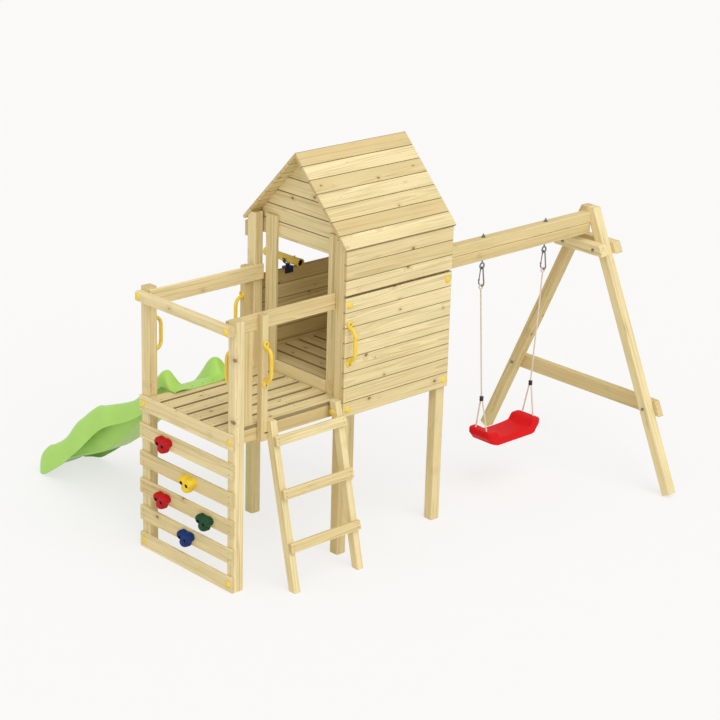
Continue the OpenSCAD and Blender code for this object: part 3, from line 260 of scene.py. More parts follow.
class StudioLook(bpy.types.PropertyGroup):
    """Camera, floor and light."""

    floor: colour("Floor", "Floor under the object", (0.93, 0.926, 0.918))
    backdrop: colour("Backdrop", "Pale studio round the object", (0.965, 0.958, 0.950))
    lift: number("Backdrop share", "How far the floor takes the backdrop's colour", 0.72)
    azimuth: number("Azimuth", "Camera turn round the object, degrees", -43.55)
    elevation: number("Elevation", "Camera height angle, degrees", 19.778)
    roll: number("Roll", "Camera roll, degrees", 1.643)
    distance: length("Distance", "Camera distance from its target", 13.046)
    lens: number("Lens", "Focal length, millimetres", 104.123)
    target: FloatVectorProperty(
        name="Target", description="Place that the camera looks at", subtype="XYZ", size=3,
        default=(1.4312, 0.5, 0.9783)
    )
    key: number("Key", "Strength of the key light", 1.5, min=0)
    fill: number("Fill", "Strength of the fill light", 0.45, min=0)
    sky: number("Sky", "Strength of the light from all round", 0.57, min=0)


LOOKS = {
    "timber_look": TimberLook,
    "plastic_look": PlasticLook,
    "rope_look": RopeLook,
    "steel_look": SteelLook,
    "studio_look": StudioLook,
}


def look(name):
    return getattr(bpy.context.scene, name)


# Materials

PAINTS = {}
# Moulded plastics: colour setting, roughness, depth of the skin, shine and haze
SKIN = 0.00012
PLASTICS = {
    "slide_green": ("slide", 0.38, 0.00025, 0.36, 0.03),
    "seat_red": ("seat", 0.46, SKIN, 0.07, 0.004),
    "bright_yellow": ("yellow", 0.36, SKIN, 0.42, 0.05),
    "navy": ("navy", 0.42, SKIN, 0.42, 0.02),
    "black": ("black", 0.5, SKIN, 0.42, 0.02),
}
for hold in ("hold_red", "hold_yellow", "hold_green", "hold_blue"):
    PLASTICS[hold] = (hold, 0.58, 0.0006, 0.22, 0.012)
# Plated steels: colour setting and roughness
STEELS = {"zinc": ("zinc", 0.36), "screw_brass": ("brass", 0.42)}
# Cells that knots grow in, per metre along, across and through a board
KNOT_CELLS = (2.6, 7.5, 5.0)


class Wiring:
    """A node tree that is being wired: each call adds a node and returns its socket."""

    prefix = ""

    def __init__(self, tree):
        self.nodes = tree.nodes
        self.links = tree.links

    def feed(self, socket, value):
        """Links another socket or sets a value; a colour gets its alpha."""
        if isinstance(value, bpy.types.NodeSocket):
            self.links.new(value, socket)
        elif socket.type == "RGBA":
            socket.default_value = (*value, 1.0)
        else:
            socket.default_value = value

    def node(self, kind, inputs, out=0, **settings):
        made = self.nodes.new(self.prefix + kind)
        for key, value in settings.items():
            setattr(made, key, value)
        for key, value in inputs.items():
            self.feed(made.inputs[key], value)
        return made.outputs[out]


class Paint(Wiring):
    """The wiring of a material or world."""

    prefix = "ShaderNode"

    def __init__(self, name, kind="materials"):
        self.owner = getattr(bpy.data, kind).new(name)
        self.owner.use_nodes = True
        super().__init__(self.owner.node_tree)
        self.nodes.clear()

    def attribute(self, name, out="Vector"):
        return self.node("Attribute", {}, out, attribute_name=name)

    def place(self):
        return self.node("TexCoord", {}, "Object")

    def maths(self, operation, *values):
        return self.node("Math", dict(enumerate(values)), operation=operation)

    def plus(self, a, b):
        return self.maths("ADD", a, b)

    def times(self, a, b, more=0.0):
        """The product of two values, with more added to it."""
        return self.maths("MULTIPLY_ADD", a, b, more)

    def vector(self, operation, *values):
        out = "Value" if operation == "LENGTH" else 0
        return self.node("VectorMath", dict(enumerate(values)), out, operation=operation)

    def split(self, vector):
        made = self.nodes.new("ShaderNodeSeparateXYZ")
        self.links.new(vector, made.inputs[0])
        return made.outputs[0], made.outputs[1], made.outputs[2]

    def join(self, x, y, z):
        return self.node("CombineXYZ", {0: x, 1: y, 2: z})

    def step(self, value, low, high, start=0.0, end=1.0):
        """Rises smoothly from start at low to end at high."""
        return self.node(
            "MapRange", {0: value, 1: low, 2: high, 3: start, 4: end}, interpolation_type="SMOOTHSTEP"
        )

    def mix(self, share, a, b):
        return self.node("Mix", {0: share, 6: a, 7: b}, 2, data_type="RGBA")

    def noise(self, at, scale, detail=3.0, roughness=0.55, out=0):
        inputs = {"Vector": at, "Scale": scale, "Detail": detail, "Roughness": roughness}
        return self.node("TexNoise", inputs, out)

    def streaks(self, at, along, across, detail=3.0, roughness=0.55, scale=1.0, out=0):
        """Noise drawn out along the grain."""
        drawn = self.vector("MULTIPLY", at, (along, across, across))
        return self.noise(drawn, scale, detail, roughness, out)

    def bump(self, height, strength, distance):
        return self.node("Bump", {"Height": height, "Strength": strength, "Distance": distance})

    def seen(self):
        """One where a thing is looked at straight, through glass or in a shine, nought where it only lights."""
        ray = self.nodes.new("ShaderNodeLightPath").outputs
        mirrored = self.maths("MAXIMUM", ray["Is Glossy Ray"], ray["Is Transmission Ray"])
        return self.maths("MAXIMUM", ray["Is Camera Ray"], mirrored)

    def finish(self, shader, kind="Material"):
        output = self.nodes.new("ShaderNodeOutput" + kind)
        self.links.new(shader, output.inputs["Surface"])
        return self.owner

    def close(self, **inputs):
        """The shader and the output; names use _ for spaces."""
        named = {key.replace("_", " "): value for key, value in inputs.items()}
        return self.finish(self.node("BsdfPrincipled", named))


def pine():
    """Pressure-treated pine: rings round a heart beside each board, streaks, knots, worn edges and painted
    shade in the seams.
    """
    wood = look("timber_look")
    p = Paint("treated_pine")
    board = p.attribute("board")
    tree = p.attribute("tree")
    seam = p.attribute("seam", "Fac")
    seed_x, seed_y, seed_z = p.split(tree)
    at = p.vector("MULTIPLY_ADD", tree, (37.0, 23.0, 29.0), board)
    along, across, deep = p.split(board)

    # Knots: more than half of the cells hold one, and the grain runs round it
    voronoi = p.nodes.new("ShaderNodeTexVoronoi")
    p.feed(voronoi.inputs["Vector"], p.vector("MULTIPLY", at, KNOT_CELLS))
    p.feed(voronoi.inputs["Scale"], 1.0)
    heart = p.vector("MULTIPLY", voronoi.outputs["Position"], tuple(1 / cells for cells in KNOT_CELLS))
    slim = p.join(0.72, 1.0, p.times(seam, -0.21, 0.26))
    away = p.vector("MULTIPLY", p.vector("SUBTRACT", at, heart), slim)
    chance, size, _ = p.split(voronoi.outputs["Color"])
    radius = p.times(size, 0.0085, 0.0035)
    rough_edge = p.times(p.noise(at, 90.0, 2.0), 0.5, -0.25)
    reach = p.plus(p.maths("DIVIDE", p.vector("LENGTH", away), radius), rough_edge)
    present = p.maths("GREATER_THAN", chance, 0.42)
    dark = p.times(p.step(reach, 1.15, 0.75), present)
    halo = p.times(p.step(reach, 3.6, 0.9), present)

    # Growth rings round a heart that lies outside the board
    wander = p.streaks(at, 1.1, 5.0, 2.0, 0.5, out=1)
    drift_x, drift_y, _ = p.split(p.vector("SUBTRACT", wander, (0.5, 0.5, 0.5)))
    slant = p.times(p.maths("SUBTRACT", seed_x, 0.5), 0.09)
    ring_y = p.plus(p.times(along, slant, across), p.times(drift_x, 0.035))
    ring_y = p.maths("SUBTRACT", ring_y, p.times(seed_y, 0.10, -0.05))
    ring_z = p.plus(p.times(drift_y, 0.03, deep), p.times(seed_z, 0.07, 0.018))
    far = p.times(halo, 0.011, p.vector("LENGTH", p.join(ring_y, ring_z, 0.0)))
    turn = p.maths("FRACT", p.maths("DIVIDE", far, wood.ring))
    late = p.times(p.step(turn, 0.25, 0.9), p.step(turn, 1.0, 0.93))

    # Streaks of fibre, stains and the board's own tone
    fibre = p.streaks(at, 6.0, 420.0, 3.0, 0.6)
    streak = p.streaks(at, 1.3, 62.0, 4.0, 0.6)
    cloud = p.streaks(at, 2.2, 9.0)
    tone = p.times(seed_y, 0.95, p.times(cloud, 0.8, -0.46))
    base = p.mix(p.times(seam, -0.06, tone), wood.pale, wood.warm)
    tint = p.step(p.streaks(at, 1.6, 7.0, scale=1.7), 0.45, 0.72)
    base = p.mix(p.times(tint, 0.34), base, wood.green)
    grain = p.times(late, 0.30, p.times(p.step(streak, 0.48, 0.74), 0.48))
    grain = p.times(p.step(fibre, 0.5, 0.8), 0.16, grain)
    stain = p.step(p.streaks(at, 3.5, 15.0, 4.0, 0.65), 0.60, 0.78)
    base = p.mix(p.times(stain, 0.46, grain), base, wood.late)
    base = p.mix(p.times(halo, 0.30), base, wood.late)
    ringed = p.times(p.maths("SINE", p.times(reach, 16.0)), 0.18, 0.72)
    base = p.mix(p.times(dark, ringed), base, wood.knot)

    # Worn edges, painted shade in the seams and thirsty end grain, from the distance to the board's own edges
    gap_x, gap_y, gap_z = p.split(p.vector("SUBTRACT", p.attribute("half"), p.vector("ABSOLUTE", board)))
    low = p.maths("MINIMUM", gap_y, gap_z)
    high = p.maths("MAXIMUM", gap_y, gap_z)
    nearest = p.maths("MAXIMUM", low, p.maths("MINIMUM", high, gap_x))
    worn = p.times(p.step(nearest, 0.007, 0.001), p.step(cloud, 0.35, 0.65, 0.25, 1.0))
    bare = p.times(worn, p.times(seam, -0.3, 0.3))
    base = p.mix(bare, base, [min(1.0, c * 1.06) for c in wood.pale])
    # Painted shade: the sides of boards laid edge to edge are darkened towards the seam colour, standing in for
    # the shade in the gaps between them
    painted_seam_shade = p.times(p.step(gap_y, 0.0036, 0.0012), seam)
    base = p.mix(p.times(painted_seam_shade, 0.74), base, wood.seam)
    base = p.mix(p.times(p.step(gap_x, 0.0025, 0.0006), 0.42), base, wood.late)

    relief = p.times(dark, -0.5, p.times(late, -0.5, p.times(fibre, 0.6)))
    rough = p.step(p.times(late, -0.35, fibre), 0.0, 1.0, 0.62, 0.82)
    normal = p.bump(relief, 0.28, 0.0007)
    return p.close(Base_Color=base, Roughness=rough, Specular_IOR_Level=0.3, Normal=normal)


def moulded(name, value, roughness, grain, shine, haze):
    """Moulded plastic with a fine skin, faint flow marks and rubbed spots."""
    p = Paint("moulded_" + name)
    at = p.place()
    flow = p.noise(at, 7.0, 3.0, 0.5)
    skin = p.noise(at, 520.0, 2.0, 0.5)
    rubbed = p.step(p.noise(at, 26.0, 4.0, 0.62), 0.5, 0.75)
    deep = [c * (1 - 1.6 * haze) for c in value]
    pale = [c + (0.9 - c) * haze for c in value]
    base = p.mix(p.step(flow, 0.3, 0.7), deep, value)
    base = p.mix(p.times(rubbed, 0.5), base, pale)
    rough = p.times(rubbed, 0.10, p.times(flow, 0.08, roughness - 0.04))
    normal = p.bump(skin, 0.3, grain)
    return p.close(Base_Color=base, Roughness=rough, Specular_IOR_Level=shine, Normal=normal)


def rope_fibre():
    """Twisted polyhemp with painted light and shade: the crown of each strand is painted light, its valleys
    painted dark, with fine slanting yarns.
    """
    rope = look("rope_look")
    p = Paint("twisted_fibre")
    along, crown, turn = p.split(p.attribute("yarn"))
    slant = p.maths("SINE", p.times(along, 3600.0, p.times(turn, 9.0)))
    fuzz = p.noise(p.place(), 900.0, 3.0)
    # Painted light and shade: lighter on the crown of each strand, darker in the valleys between the strands
    base = p.mix(p.step(crown, 0.55, 0.98), rope.dark, rope.light)
    yarn = p.times(slant, 0.5, 0.5)
    base = p.mix(p.times(p.times(yarn, fuzz), 0.45), base, rope.dark)
    height = p.times(fuzz, 0.7, p.times(yarn, 0.5))
    return p.close(
        Base_Color=base, Roughness=0.9, Specular_IOR_Level=0.15, Sheen_Weight=0.25, Sheen_Roughness=0.5,
        Normal=p.bump(height, 0.5, 0.0005)
    )


def steel(name, value, roughness):
    """Plated steel with mottled zinc flakes and fine scratches."""
    p = Paint("plated_" + name)
    at = p.place()
    flakes = p.noise(at, 160.0, 4.0, 0.6)
    scratch = p.noise(p.vector("MULTIPLY", at, (90.0, 90.0, 1400.0)), 1.0, 2.0)
    base = p.mix(p.step(flakes, 0.35, 0.7), [c * 0.55 for c in value], value)
    rough = p.times(flakes, 0.22, roughness - 0.1)
    return p.close(Base_Color=base, Roughness=rough, Metallic=0.85, Normal=p.bump(scratch, 0.18, 0.0002))


def glass_dark():
    """Coated telescope lens, with a painted reflection that turns it lighter and purple where it is seen
    edge-on.
    """
    p = Paint("lens")
    # Painted reflection of the coating: lighter and purple towards grazing angles
    rim = p.node("LayerWeight", {"Blend": 0.35}, "Facing")
    base = p.mix(rim, (0.006, 0.006, 0.012), (0.05, 0.03, 0.07))
    return p.close(Base_Color=base, Roughness=0.06, Specular_IOR_Level=0.7)


def paint(name):
    """The material of that name, made on first use."""
    if name in PAINTS:
        return PAINTS[name]
    if name in PLASTICS:
        setting, *finish = PLASTICS[name]
        made = moulded(name, getattr(look("plastic_look"), setting), *finish)
    elif name in STEELS:
        setting, roughness = STEELS[name]
        made = steel(name, getattr(look("steel_look"), setting), roughness)
    else:
        made = {"pine": pine, "rope_fibre": rope_fibre, "lens": glass_dark}[name]()
    PAINTS[name] = made
    return made


# Mesh helpers

# Edges of a CAD mesh that bend more than the first angle are eased, and under the second they melt away
SHARP_EDGE = math.radians(28)
FLAT_EDGE = math.radians(1)
# Faces under these areas keep their edges
SMALL_BOARD_FACE = 1.6e-4
SMALL_METAL_FACE = 2e-6
# Points nearer than these are one: of a turned or swept form, of a CAD mesh and of a moulded skin
MERGE = 1e-6
CAD_MERGE = 1e-5
SKIN_MERGE = 2e-5
# Points this near to a board's broad faces give its width
FACE_BAND = 0.0015
# Faces whose normal leans further along the grain than this share are a board's ends
END_GRAIN = 0.1
# Bend in degrees from which an edge of a turned or swept form looks sharp
SHARP_LOOK = 40.0


def link(name, mesh, material=None):
    made = bpy.data.objects.new(name, mesh)
    bpy.context.scene.collection.objects.link(made)
    if material:
        mesh.materials.clear()
        mesh.materials.append(material)
    return made


def discard(piece):
    mesh = piece.data
    bpy.data.objects.remove(piece)
    bpy.data.meshes.remove(mesh)


def raw_mesh(name, points, faces=()):
    mesh = bpy.data.meshes.new(name)
    mesh.from_pydata([tuple(q) for q in points], [], [tuple(f) for f in faces])
    return mesh


def turn_outwards(mesh, merge=0.0):
    """Turns the faces outwards and joins points that are nearer than merge."""
    bm = bmesh.new()
    bm.from_mesh(mesh)
    if merge:
        bmesh.ops.remove_doubles(bm, verts=bm.verts, dist=merge)
    bmesh.ops.recalc_face_normals(bm, faces=bm.faces)
    bm.to_mesh(mesh)
    bm.free()


def smooth(mesh, sharp):
    """Smooth shading, with edges over an angle kept sharp."""
    mesh.shade_smooth()
    mesh.set_sharp_from_angle(angle=math.radians(sharp))


def build(name, points, faces, material, sharp=SHARP_LOOK):
    """A closed piece from points and faces, its faces turned outwards and its sharp edges kept."""
    mesh = raw_mesh(name, points, faces)
    turn_outwards(mesh, MERGE)
    smooth(mesh, sharp)
    return link(name, mesh, paint(material))


def settle(piece):
    """Turns the piece's modifiers into its mesh."""
    bpy.context.view_layer.update()
    done = bpy.data.meshes.new_from_object(piece.evaluated_get(bpy.context.evaluated_depsgraph_get()))
    old = piece.data
    name = old.name
    piece.modifiers.clear()
    piece.data = done
    bpy.data.meshes.remove(old)
    done.name = name
    return piece


def fit(piece, body, slot, *nodes):
    """The piece rides on a body and stands for CAD nodes, which it hides; the slot is not used."""
    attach(piece, body)
    if nodes:
        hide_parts(*nodes)
    return piece


def joined(name, parts):
    """One piece out of several."""
    bm = bmesh.new()
    materials = []
    for part in parts:
        first = len(bm.faces)
        own = list(part.data.materials)
        bm.from_mesh(part.data)
        bm.faces.ensure_lookup_table()
        materials += [material for material in own if material not in materials]
        for face in bm.faces[first:]:
            face.material_index = materials.index(own[face.material_index])
    mesh = bpy.data.meshes.new(name)
    bm.to_mesh(mesh)
    bm.free()
    for part in parts:
        discard(part)
    for material in materials:
        mesh.materials.append(material)
    return link(name, mesh)


def circle(count):
    """Angles of evenly spread points round a circle."""
    return [2 * math.pi * k / count for k in range(count)]


def ring_faces(count, sides, closed=False):
    faces = []
    for i in range(count if closed else count - 1):
        a, b = i * sides, (i + 1) % count * sides
        for k in range(sides):
            faces.append((a + k, a + (k + 1) % sides, b + (k + 1) % sides, b + k))
    return faces


def sweep(path, flat, reach, sides, closed=False):
    """Points and faces of a tube along a path: reach(i, turn) is its radius, flat lies off its direction."""
    path = np.asarray([tuple(q) for q in path], float)
    run = np.roll(path, -1, 0) - np.roll(path, 1, 0) if closed else np.gradient(path, axis=0)
    run /= np.linalg.norm(run, axis=1)[:, None]
    side = np.cross(run, np.asarray(flat, float))
    side /= np.linalg.norm(side, axis=1)[:, None]
    lift = np.cross(side, run)
    turns = np.arange(sides) * 2 * math.pi / sides
    points = []
    for i, middle in enumerate(path):
        for turn in turns:
            points.append(middle + reach(i, turn) * (math.cos(turn) * side[i] + math.sin(turn) * lift[i]))
    faces = ring_faces(len(path), sides, closed)
    if not closed:
        faces.append(tuple(range(sides))[::-1])
        faces.append(tuple((len(path) - 1) * sides + k for k in range(sides)))
    return points, faces


def lathe(profile, segments, place):
    """Points and faces of a turned form: profile holds (radius, height), place puts it into the object."""
    points, faces = [], []
    rows = []
    for radius, height in profile:
        if radius < 1e-7:
            rows.append([len(points)] * segments)
            points.append(place @ Vector((0, 0, height)))
        else:
            rows.append([len(points) + k for k in range(segments)])
            for turn in circle(segments):
                points.append(place @ Vector((radius * math.cos(turn), radius * math.sin(turn), height)))
    for low, high in zip(rows, rows[1:]):
        for k in range(segments):
            corner = [low[k], low[(k + 1) % segments], high[(k + 1) % segments], high[k]]
            kept = [q for n, q in enumerate(corner) if q not in corner[:n]]
            if len(kept) > 2:
                faces.append(kept)
    return points, faces


def turned(name, profile, segments, place, material, sharp=SHARP_LOOK):
    """A piece turned on a lathe."""
    return build(name, *lathe(profile, segments, place), material, sharp)


def aim(place, axis):
    """A placement whose local Z points along axis."""
    return Matrix.Translation(place) @ Vector(axis).to_track_quat("Z", "Y").to_matrix().to_4x4()


def islands(bm):
    """The connected solids of a mesh, as lists of vertices, in a steady order."""
    left = set(bm.verts)
    found = []
    for start in bm.verts:
        if start not in left:
            continue
        left.discard(start)
        group, todo = [start], [start]
        while todo:
            for edge in todo.pop().link_edges:
                for vert in edge.verts:
                    if vert in left:
                        left.discard(vert)
                        group.append(vert)
                        todo.append(vert)
        found.append(group)
    return found


def ease(bm, edges, width):
    bmesh.ops.bevel(
        bm, geom=edges, offset=width, offset_type="OFFSET", segments=2, profile=0.5, affect="EDGES",
        clamp_overlap=False
    )


def softened(node, width, small=SMALL_BOARD_FACE):
    """A merged copy of a CAD node's mesh, its sharp edges rounded but for those of faces under a small area."""
    bm = bmesh.new()
    bm.from_mesh(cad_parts[node].data)
    bmesh.ops.remove_doubles(bm, verts=bm.verts, dist=CAD_MERGE)
    bmesh.ops.dissolve_limit(bm, angle_limit=FLAT_EDGE, verts=bm.verts, edges=bm.edges)
    sharp = [e for e in bm.edges if e.is_manifold and e.calc_face_angle() > SHARP_EDGE]
    if width:
        ease(bm, [e for e in sharp if min(f.calc_area() for f in e.link_faces) > small], width)
    return bm


def weighed(bm, name, material):
    """A piece from a worked mesh, whose flat faces stay flat beside rounded edges."""
    mesh = bpy.data.meshes.new(name)
    bm.to_mesh(mesh)
    bm.free()
    smooth(mesh, 45)
    piece = link(name, mesh, paint(material))
    piece.modifiers.new("weighted", "WEIGHTED_NORMAL").keep_sharp = True
    return settle(piece)


def board_frame(group):
    """Middle, axes and half sizes of one board: along the grain, across it and through it."""
    # Dicts keep the mesh's order, so that a tie falls the same way in every run
    edges = dict.fromkeys(e for v in group for e in v.link_edges)
    longest = max(edges, key=lambda e: e.calc_length())
    grain = (longest.verts[1].co - longest.verts[0].co).normalized()
    if max(grain, key=abs) < 0:
        grain = -grain
    faces = dict.fromkeys(f for v in group for f in v.link_faces if abs(f.normal.dot(grain)) < END_GRAIN)
    flat = max(faces, key=lambda f: f.calc_area()).normal.copy()
    flat = (flat - grain * flat.dot(grain)).normalized()
    if max(flat, key=abs) < 0:
        flat = -flat
    across = flat.cross(grain)
    axes = np.array([grain, across, flat], float)
    local = np.array([v.co for v in group], float) @ axes.T
    low, high = local.min(0), local.max(0)
    wide = local[np.abs(local[:, 2] - (low[2] + high[2]) / 2) > (high[2] - low[2]) / 2 - FACE_BAND]
    low[1], high[1] = wide[:, 1].min(), wide[:, 1].max()
    return axes, (low + high) / 2, (high - low) / 2


def grained(bm, name, seam, tone=0.0):
    """A wooden piece, each of its boards carrying its own grain."""
    board = bm.verts.layers.float_vector.new("board")
    half = bm.verts.layers.float_vector.new("half")
    tree = bm.verts.layers.float_vector.new("tree")
    edge = bm.verts.layers.float.new("seam")
    for count, group in enumerate(islands(bm)):
        axes, middle, size = board_frame(group)
        draw = random.Random(f"{name} {count}")
        # The tone offset shifts the board's colour; on the deck boards and the door gable it is painted light
        seed = Vector((draw.random(), draw.random() + tone, draw.random()))
        for vert in group:
            vert[board] = Vector(axes @ np.array(vert.co, float) - middle)
            vert[half] = Vector(size)
            vert[tree] = seed
            vert[edge] = seam
    return weighed(bm, name, "pine")


def dress_timber(node):
    """A wooden node with rounded edges."""
    bm = softened(node, look("timber_look").edge)
    piece = grained(bm, node + "_dressed", 1.0 if node in CLADDING else 0.0, TONES_AND_PAINTED_LIGHT.get(node, 0.0))
    return fit(piece, "frame", "pine", node)


def batten(name, low, high):
    """A square batten between two corners."""
    bm = bmesh.new()
    bmesh.ops.create_cube(bm, size=1.0)
    for vert in bm.verts:
        vert.co = Vector(high[k] if vert.co[k] > 0 else low[k] for k in range(3))
    ease(bm, bm.edges[:], look("timber_look").edge)
    return fit(grained(bm, name, 0.0), "frame", "pine")


def dress_plain(node, body, slot, material, width=0.0005):
    """A node of metal or plastic with its edges eased."""
    return fit(weighed(softened(node, width, SMALL_METAL_FACE), node + "_dressed", material), body, slot, node)


# Ropes

# Shares of a collar's radius and half height
COLLAR_PROFILE = [
    (0, -1), (0.86, -1), (1, -0.86), (1, -0.3), (0.93, -0.22), (0.93, 0.22), (1, 0.3), (1, 0.86), (0.86, 1),
    (0, 1),
]
# Shares of a knot's radius and height that its rope winds through, and of the radius that the rope takes
KNOT_WIND = 0.22
KNOT_WAVE = 0.24
KNOT_ROPE = 0.34
# Rows of points in one turn of the strands, and the fewest points along a rope's run
LAY_ROWS = 12
ROUTE_POINTS = 24
ACROSS = (0.0, 1.0, 0.0)


def strand_reach(turn, diameter):
    """Reach of a three-strand rope at an angle round its heart."""
    third = 2 * math.pi / 3
    off = (turn + third / 2) % third - third / 2
    return diameter / 2 * math.cos(off)


def laid_rope(name, path, flat, closed=False, sides=18):
    """A twisted rope along a finely stepped path."""
    rope = look("rope_look")
    stops = np.asarray([tuple(q) for q in path], float)
    following = np.roll(stops, -1, 0) if closed else stops[1:]
    steps = np.linalg.norm(following - stops[:len(following)], axis=1)
    run = np.concatenate([[0.0], np.cumsum(steps)])
    lay = run[-1] / max(1, round(run[-1] / rope.lay)) if closed else rope.lay

    def reach(i, turn):
        return strand_reach(turn + 2 * math.pi * run[i] / lay, rope.diameter)

    points, faces = sweep(path, flat, reach, sides, closed)
    mesh = raw_mesh(name, points, faces)
    yarn = mesh.attributes.new("yarn", "FLOAT_VECTOR", "POINT")
    values = [
        (far, 2 * reach(i, turn) / rope.diameter, turn)
        for i, far in enumerate(run[:len(stops)]) for turn in circle(sides)
    ]
    yarn.data.foreach_set("vector", np.array(values, np.float32).ravel())
    turn_outwards(mesh)
    mesh.shade_smooth()
    return link(name, mesh, paint("rope_fibre"))


def between(a, b, count):
    return [a.lerp(b, i / (count - 1)) for i in range(count)]


def rope_run(name, a, b, node):
    """One straight rope under load."""
    rope = look("rope_look")
    reach = (b - a).length
    piece = laid_rope(name, between(a, b, max(ROUTE_POINTS, round(reach / rope.lay * LAY_ROWS))), ACROSS)
    fit(piece, "swing", "rope", node)
    return piece


def knot(name, middle):
    """A tied knot under the seat: a rope wound as a trefoil."""
    path = []
    for t in circle(96):
        x = math.sin(t) + 2 * math.sin(2 * t)
        y = math.cos(t) - 2 * math.cos(2 * t)
        z = -math.sin(3 * t)
        path.append(middle + Vector((x * KNOT_R * KNOT_WIND, y * KNOT_R * KNOT_WIND, z * KNOT_H * KNOT_WAVE)))
    points, faces = sweep(path, (0.05, 0.03, 1.0), lambda i, turn: KNOT_R * KNOT_ROPE, 10, True)
    return build(name, points, faces, "rope_fibre", 180.0)


class CLIMB_OT_ropes(bpy.types.Operator):
    """Swing ropes with their eyes, branches, knots and collars"""

    bl_idname = "climb.ropes"
    bl_label = "Swing ropes"

    def execute(self, context):
        rise = COLLAR_H / 2
        profile = [(COLLAR_R * out, rise * up) for out, up in COLLAR_PROFILE]
        for eye_x, collar_x, hole_x, word in zip(EYES_X, COLLARS_X, HOLES_X, SIDES):
            node = "rope_" + word
            hung = site(eye_x, SWING_Y, ROPE_EYE_Z)
            ring = [hung + ROPE_EYE_R * Vector((math.sin(turn), 0, -math.cos(turn))) for turn in circle(60)]
            eye = fit(laid_rope(f"rope_eye_{word}", ring, ACROSS, True), "swing", "rope", node)
            middle = site(collar_x, SWING_Y, COLLAR_Z)
            collar = turned(f"rope_collar_{word}", profile, 32, Matrix.Translation(middle), "black")
            fit(collar, "swing", "collar", "rope_collars")
            top = site(eye_x, SWING_Y, ROPE_EYE_Z - ROPE_EYE_R)
            into = top.lerp(middle, (top.z - middle.z - rise) / (top.z - middle.z))
            rope_run(f"rope_main_{word}", top, into, node)
            for way, name in WAYS:
                start = site(collar_x, SWING_Y + way * BRANCH_OFF, COLLAR_Z)
                foot = site(hole_x, SWING_Y + way * HOLE_REACH, SEAT_TOP - SEAT_WALL - KNOT_H / 2)
                out = start.lerp(foot, rise / (start.z - foot.z))
                tied = fit(knot(f"rope_knot_{word}_{name}", foot), "swing", "rope", node)
                rope_run(f"rope_branch_{word}_{name}", out, foot, node)
        return {"FINISHED"}


class CLIMB_OT_timber(bpy.types.Operator):
    """Posts, boards, roof, swing frame and ladder in pine"""

    bl_idname = "climb.timber"
    bl_label = "Timber"

    def execute(self, context):
        for node in TIMBER:
            dress_timber(node)
        batten("seam_batten", *(site(*corner) for corner in SEAM_BATTEN))
        return {"FINISHED"}


# Slide


def between_rows(rows, steps):
    """The rows with more rows between them, on smooth curves."""
    rows = np.asarray(rows, float)
    wide = np.vstack([rows[:1], rows, rows[-1:]])
    made = []
    for i in range(len(rows) - 1):
        a, b, c, d = wide[i:i + 4]
        for j in range(steps):
            t = j / steps
            bend = (2 * a - 5 * b + 4 * c - d) * t ** 2 + (3 * b - a - 3 * c + d) * t ** 3
            made.append((2 * b + (c - a) * t + bend) / 2)
    made.append(rows[-1])
    return np.array(made)


def grid_faces(rows, columns):
    faces = []
    for i in range(rows - 1):
        for k in range(columns - 1):
            a = i * columns + k
            faces.append((a, a + columns, a + columns + 1, a + 1))
    return faces


def shell(name, points, faces, wall, material, edge):
    """A moulded wall: the faces are its outer skin, the wall grows to their back."""
    piece = link(name, raw_mesh(name, points, faces), paint(material))
    piece.modifiers.new("weld", "WELD").merge_threshold = SKIN_MERGE
    thick = piece.modifiers.new("wall", "SOLIDIFY")
    thick.thickness = wall
    thick.offset = -1.0
    rounded = piece.modifiers.new("edge", "BEVEL")
    rounded.width = edge
    rounded.segments = 3
    rounded.limit_method = "ANGLE"
    rounded.angle_limit = math.radians(55)
    settle(piece)
    smooth(piece.data, 70)
    return piece


def slide_row(station, across):
    """One row of the slide's skin across its width."""
    share, floor, rim, skirt, wide = station
    share = share - NOSE_DRAW * max(0.0, share - NOSE_FROM)
    y = SLIDE_Y[0] + share * (SLIDE_Y[1] - SLIDE_Y[0])
    reach = min(skirt * SLIDE_SKIRT, rim * DECK_Z + SLIDE_WALL - GROUND_GAP)
    row = []
    for out, up, down in across:
        rise = min(max(up, 0.0), 1.0) * (rim - floor) * DECK_Z
        row.append((wide * out * SLIDE_HALF, y, floor * DECK_Z + SLIDE_WALL + rise - max(down, 0.0) * reach))
    return row


def slide_nose(last):
    """Rows that roll over from the last one and run down to the ground."""
    rows = []
    for k in range(1, NOSE_ROWS + 1):
        turn = math.pi / 2 * min(k / NOSE_ROLL_ROWS, 1.0)
        fall = NOSE_FALL * (1 - math.cos(turn))
        fall += (1 - NOSE_FALL) * max(0, k - NOSE_ROLL_ROWS) / (NOSE_ROWS - NOSE_ROLL_ROWS)
        ahead = NOSE_REACH * math.sin(turn)
        tight = 1 - NOSE_TIGHT * (1 - math.cos(turn))
        rows.append([(x * tight, y + ahead, z - (z - GROUND_GAP) * fall) for x, y, z in last])
    return rows


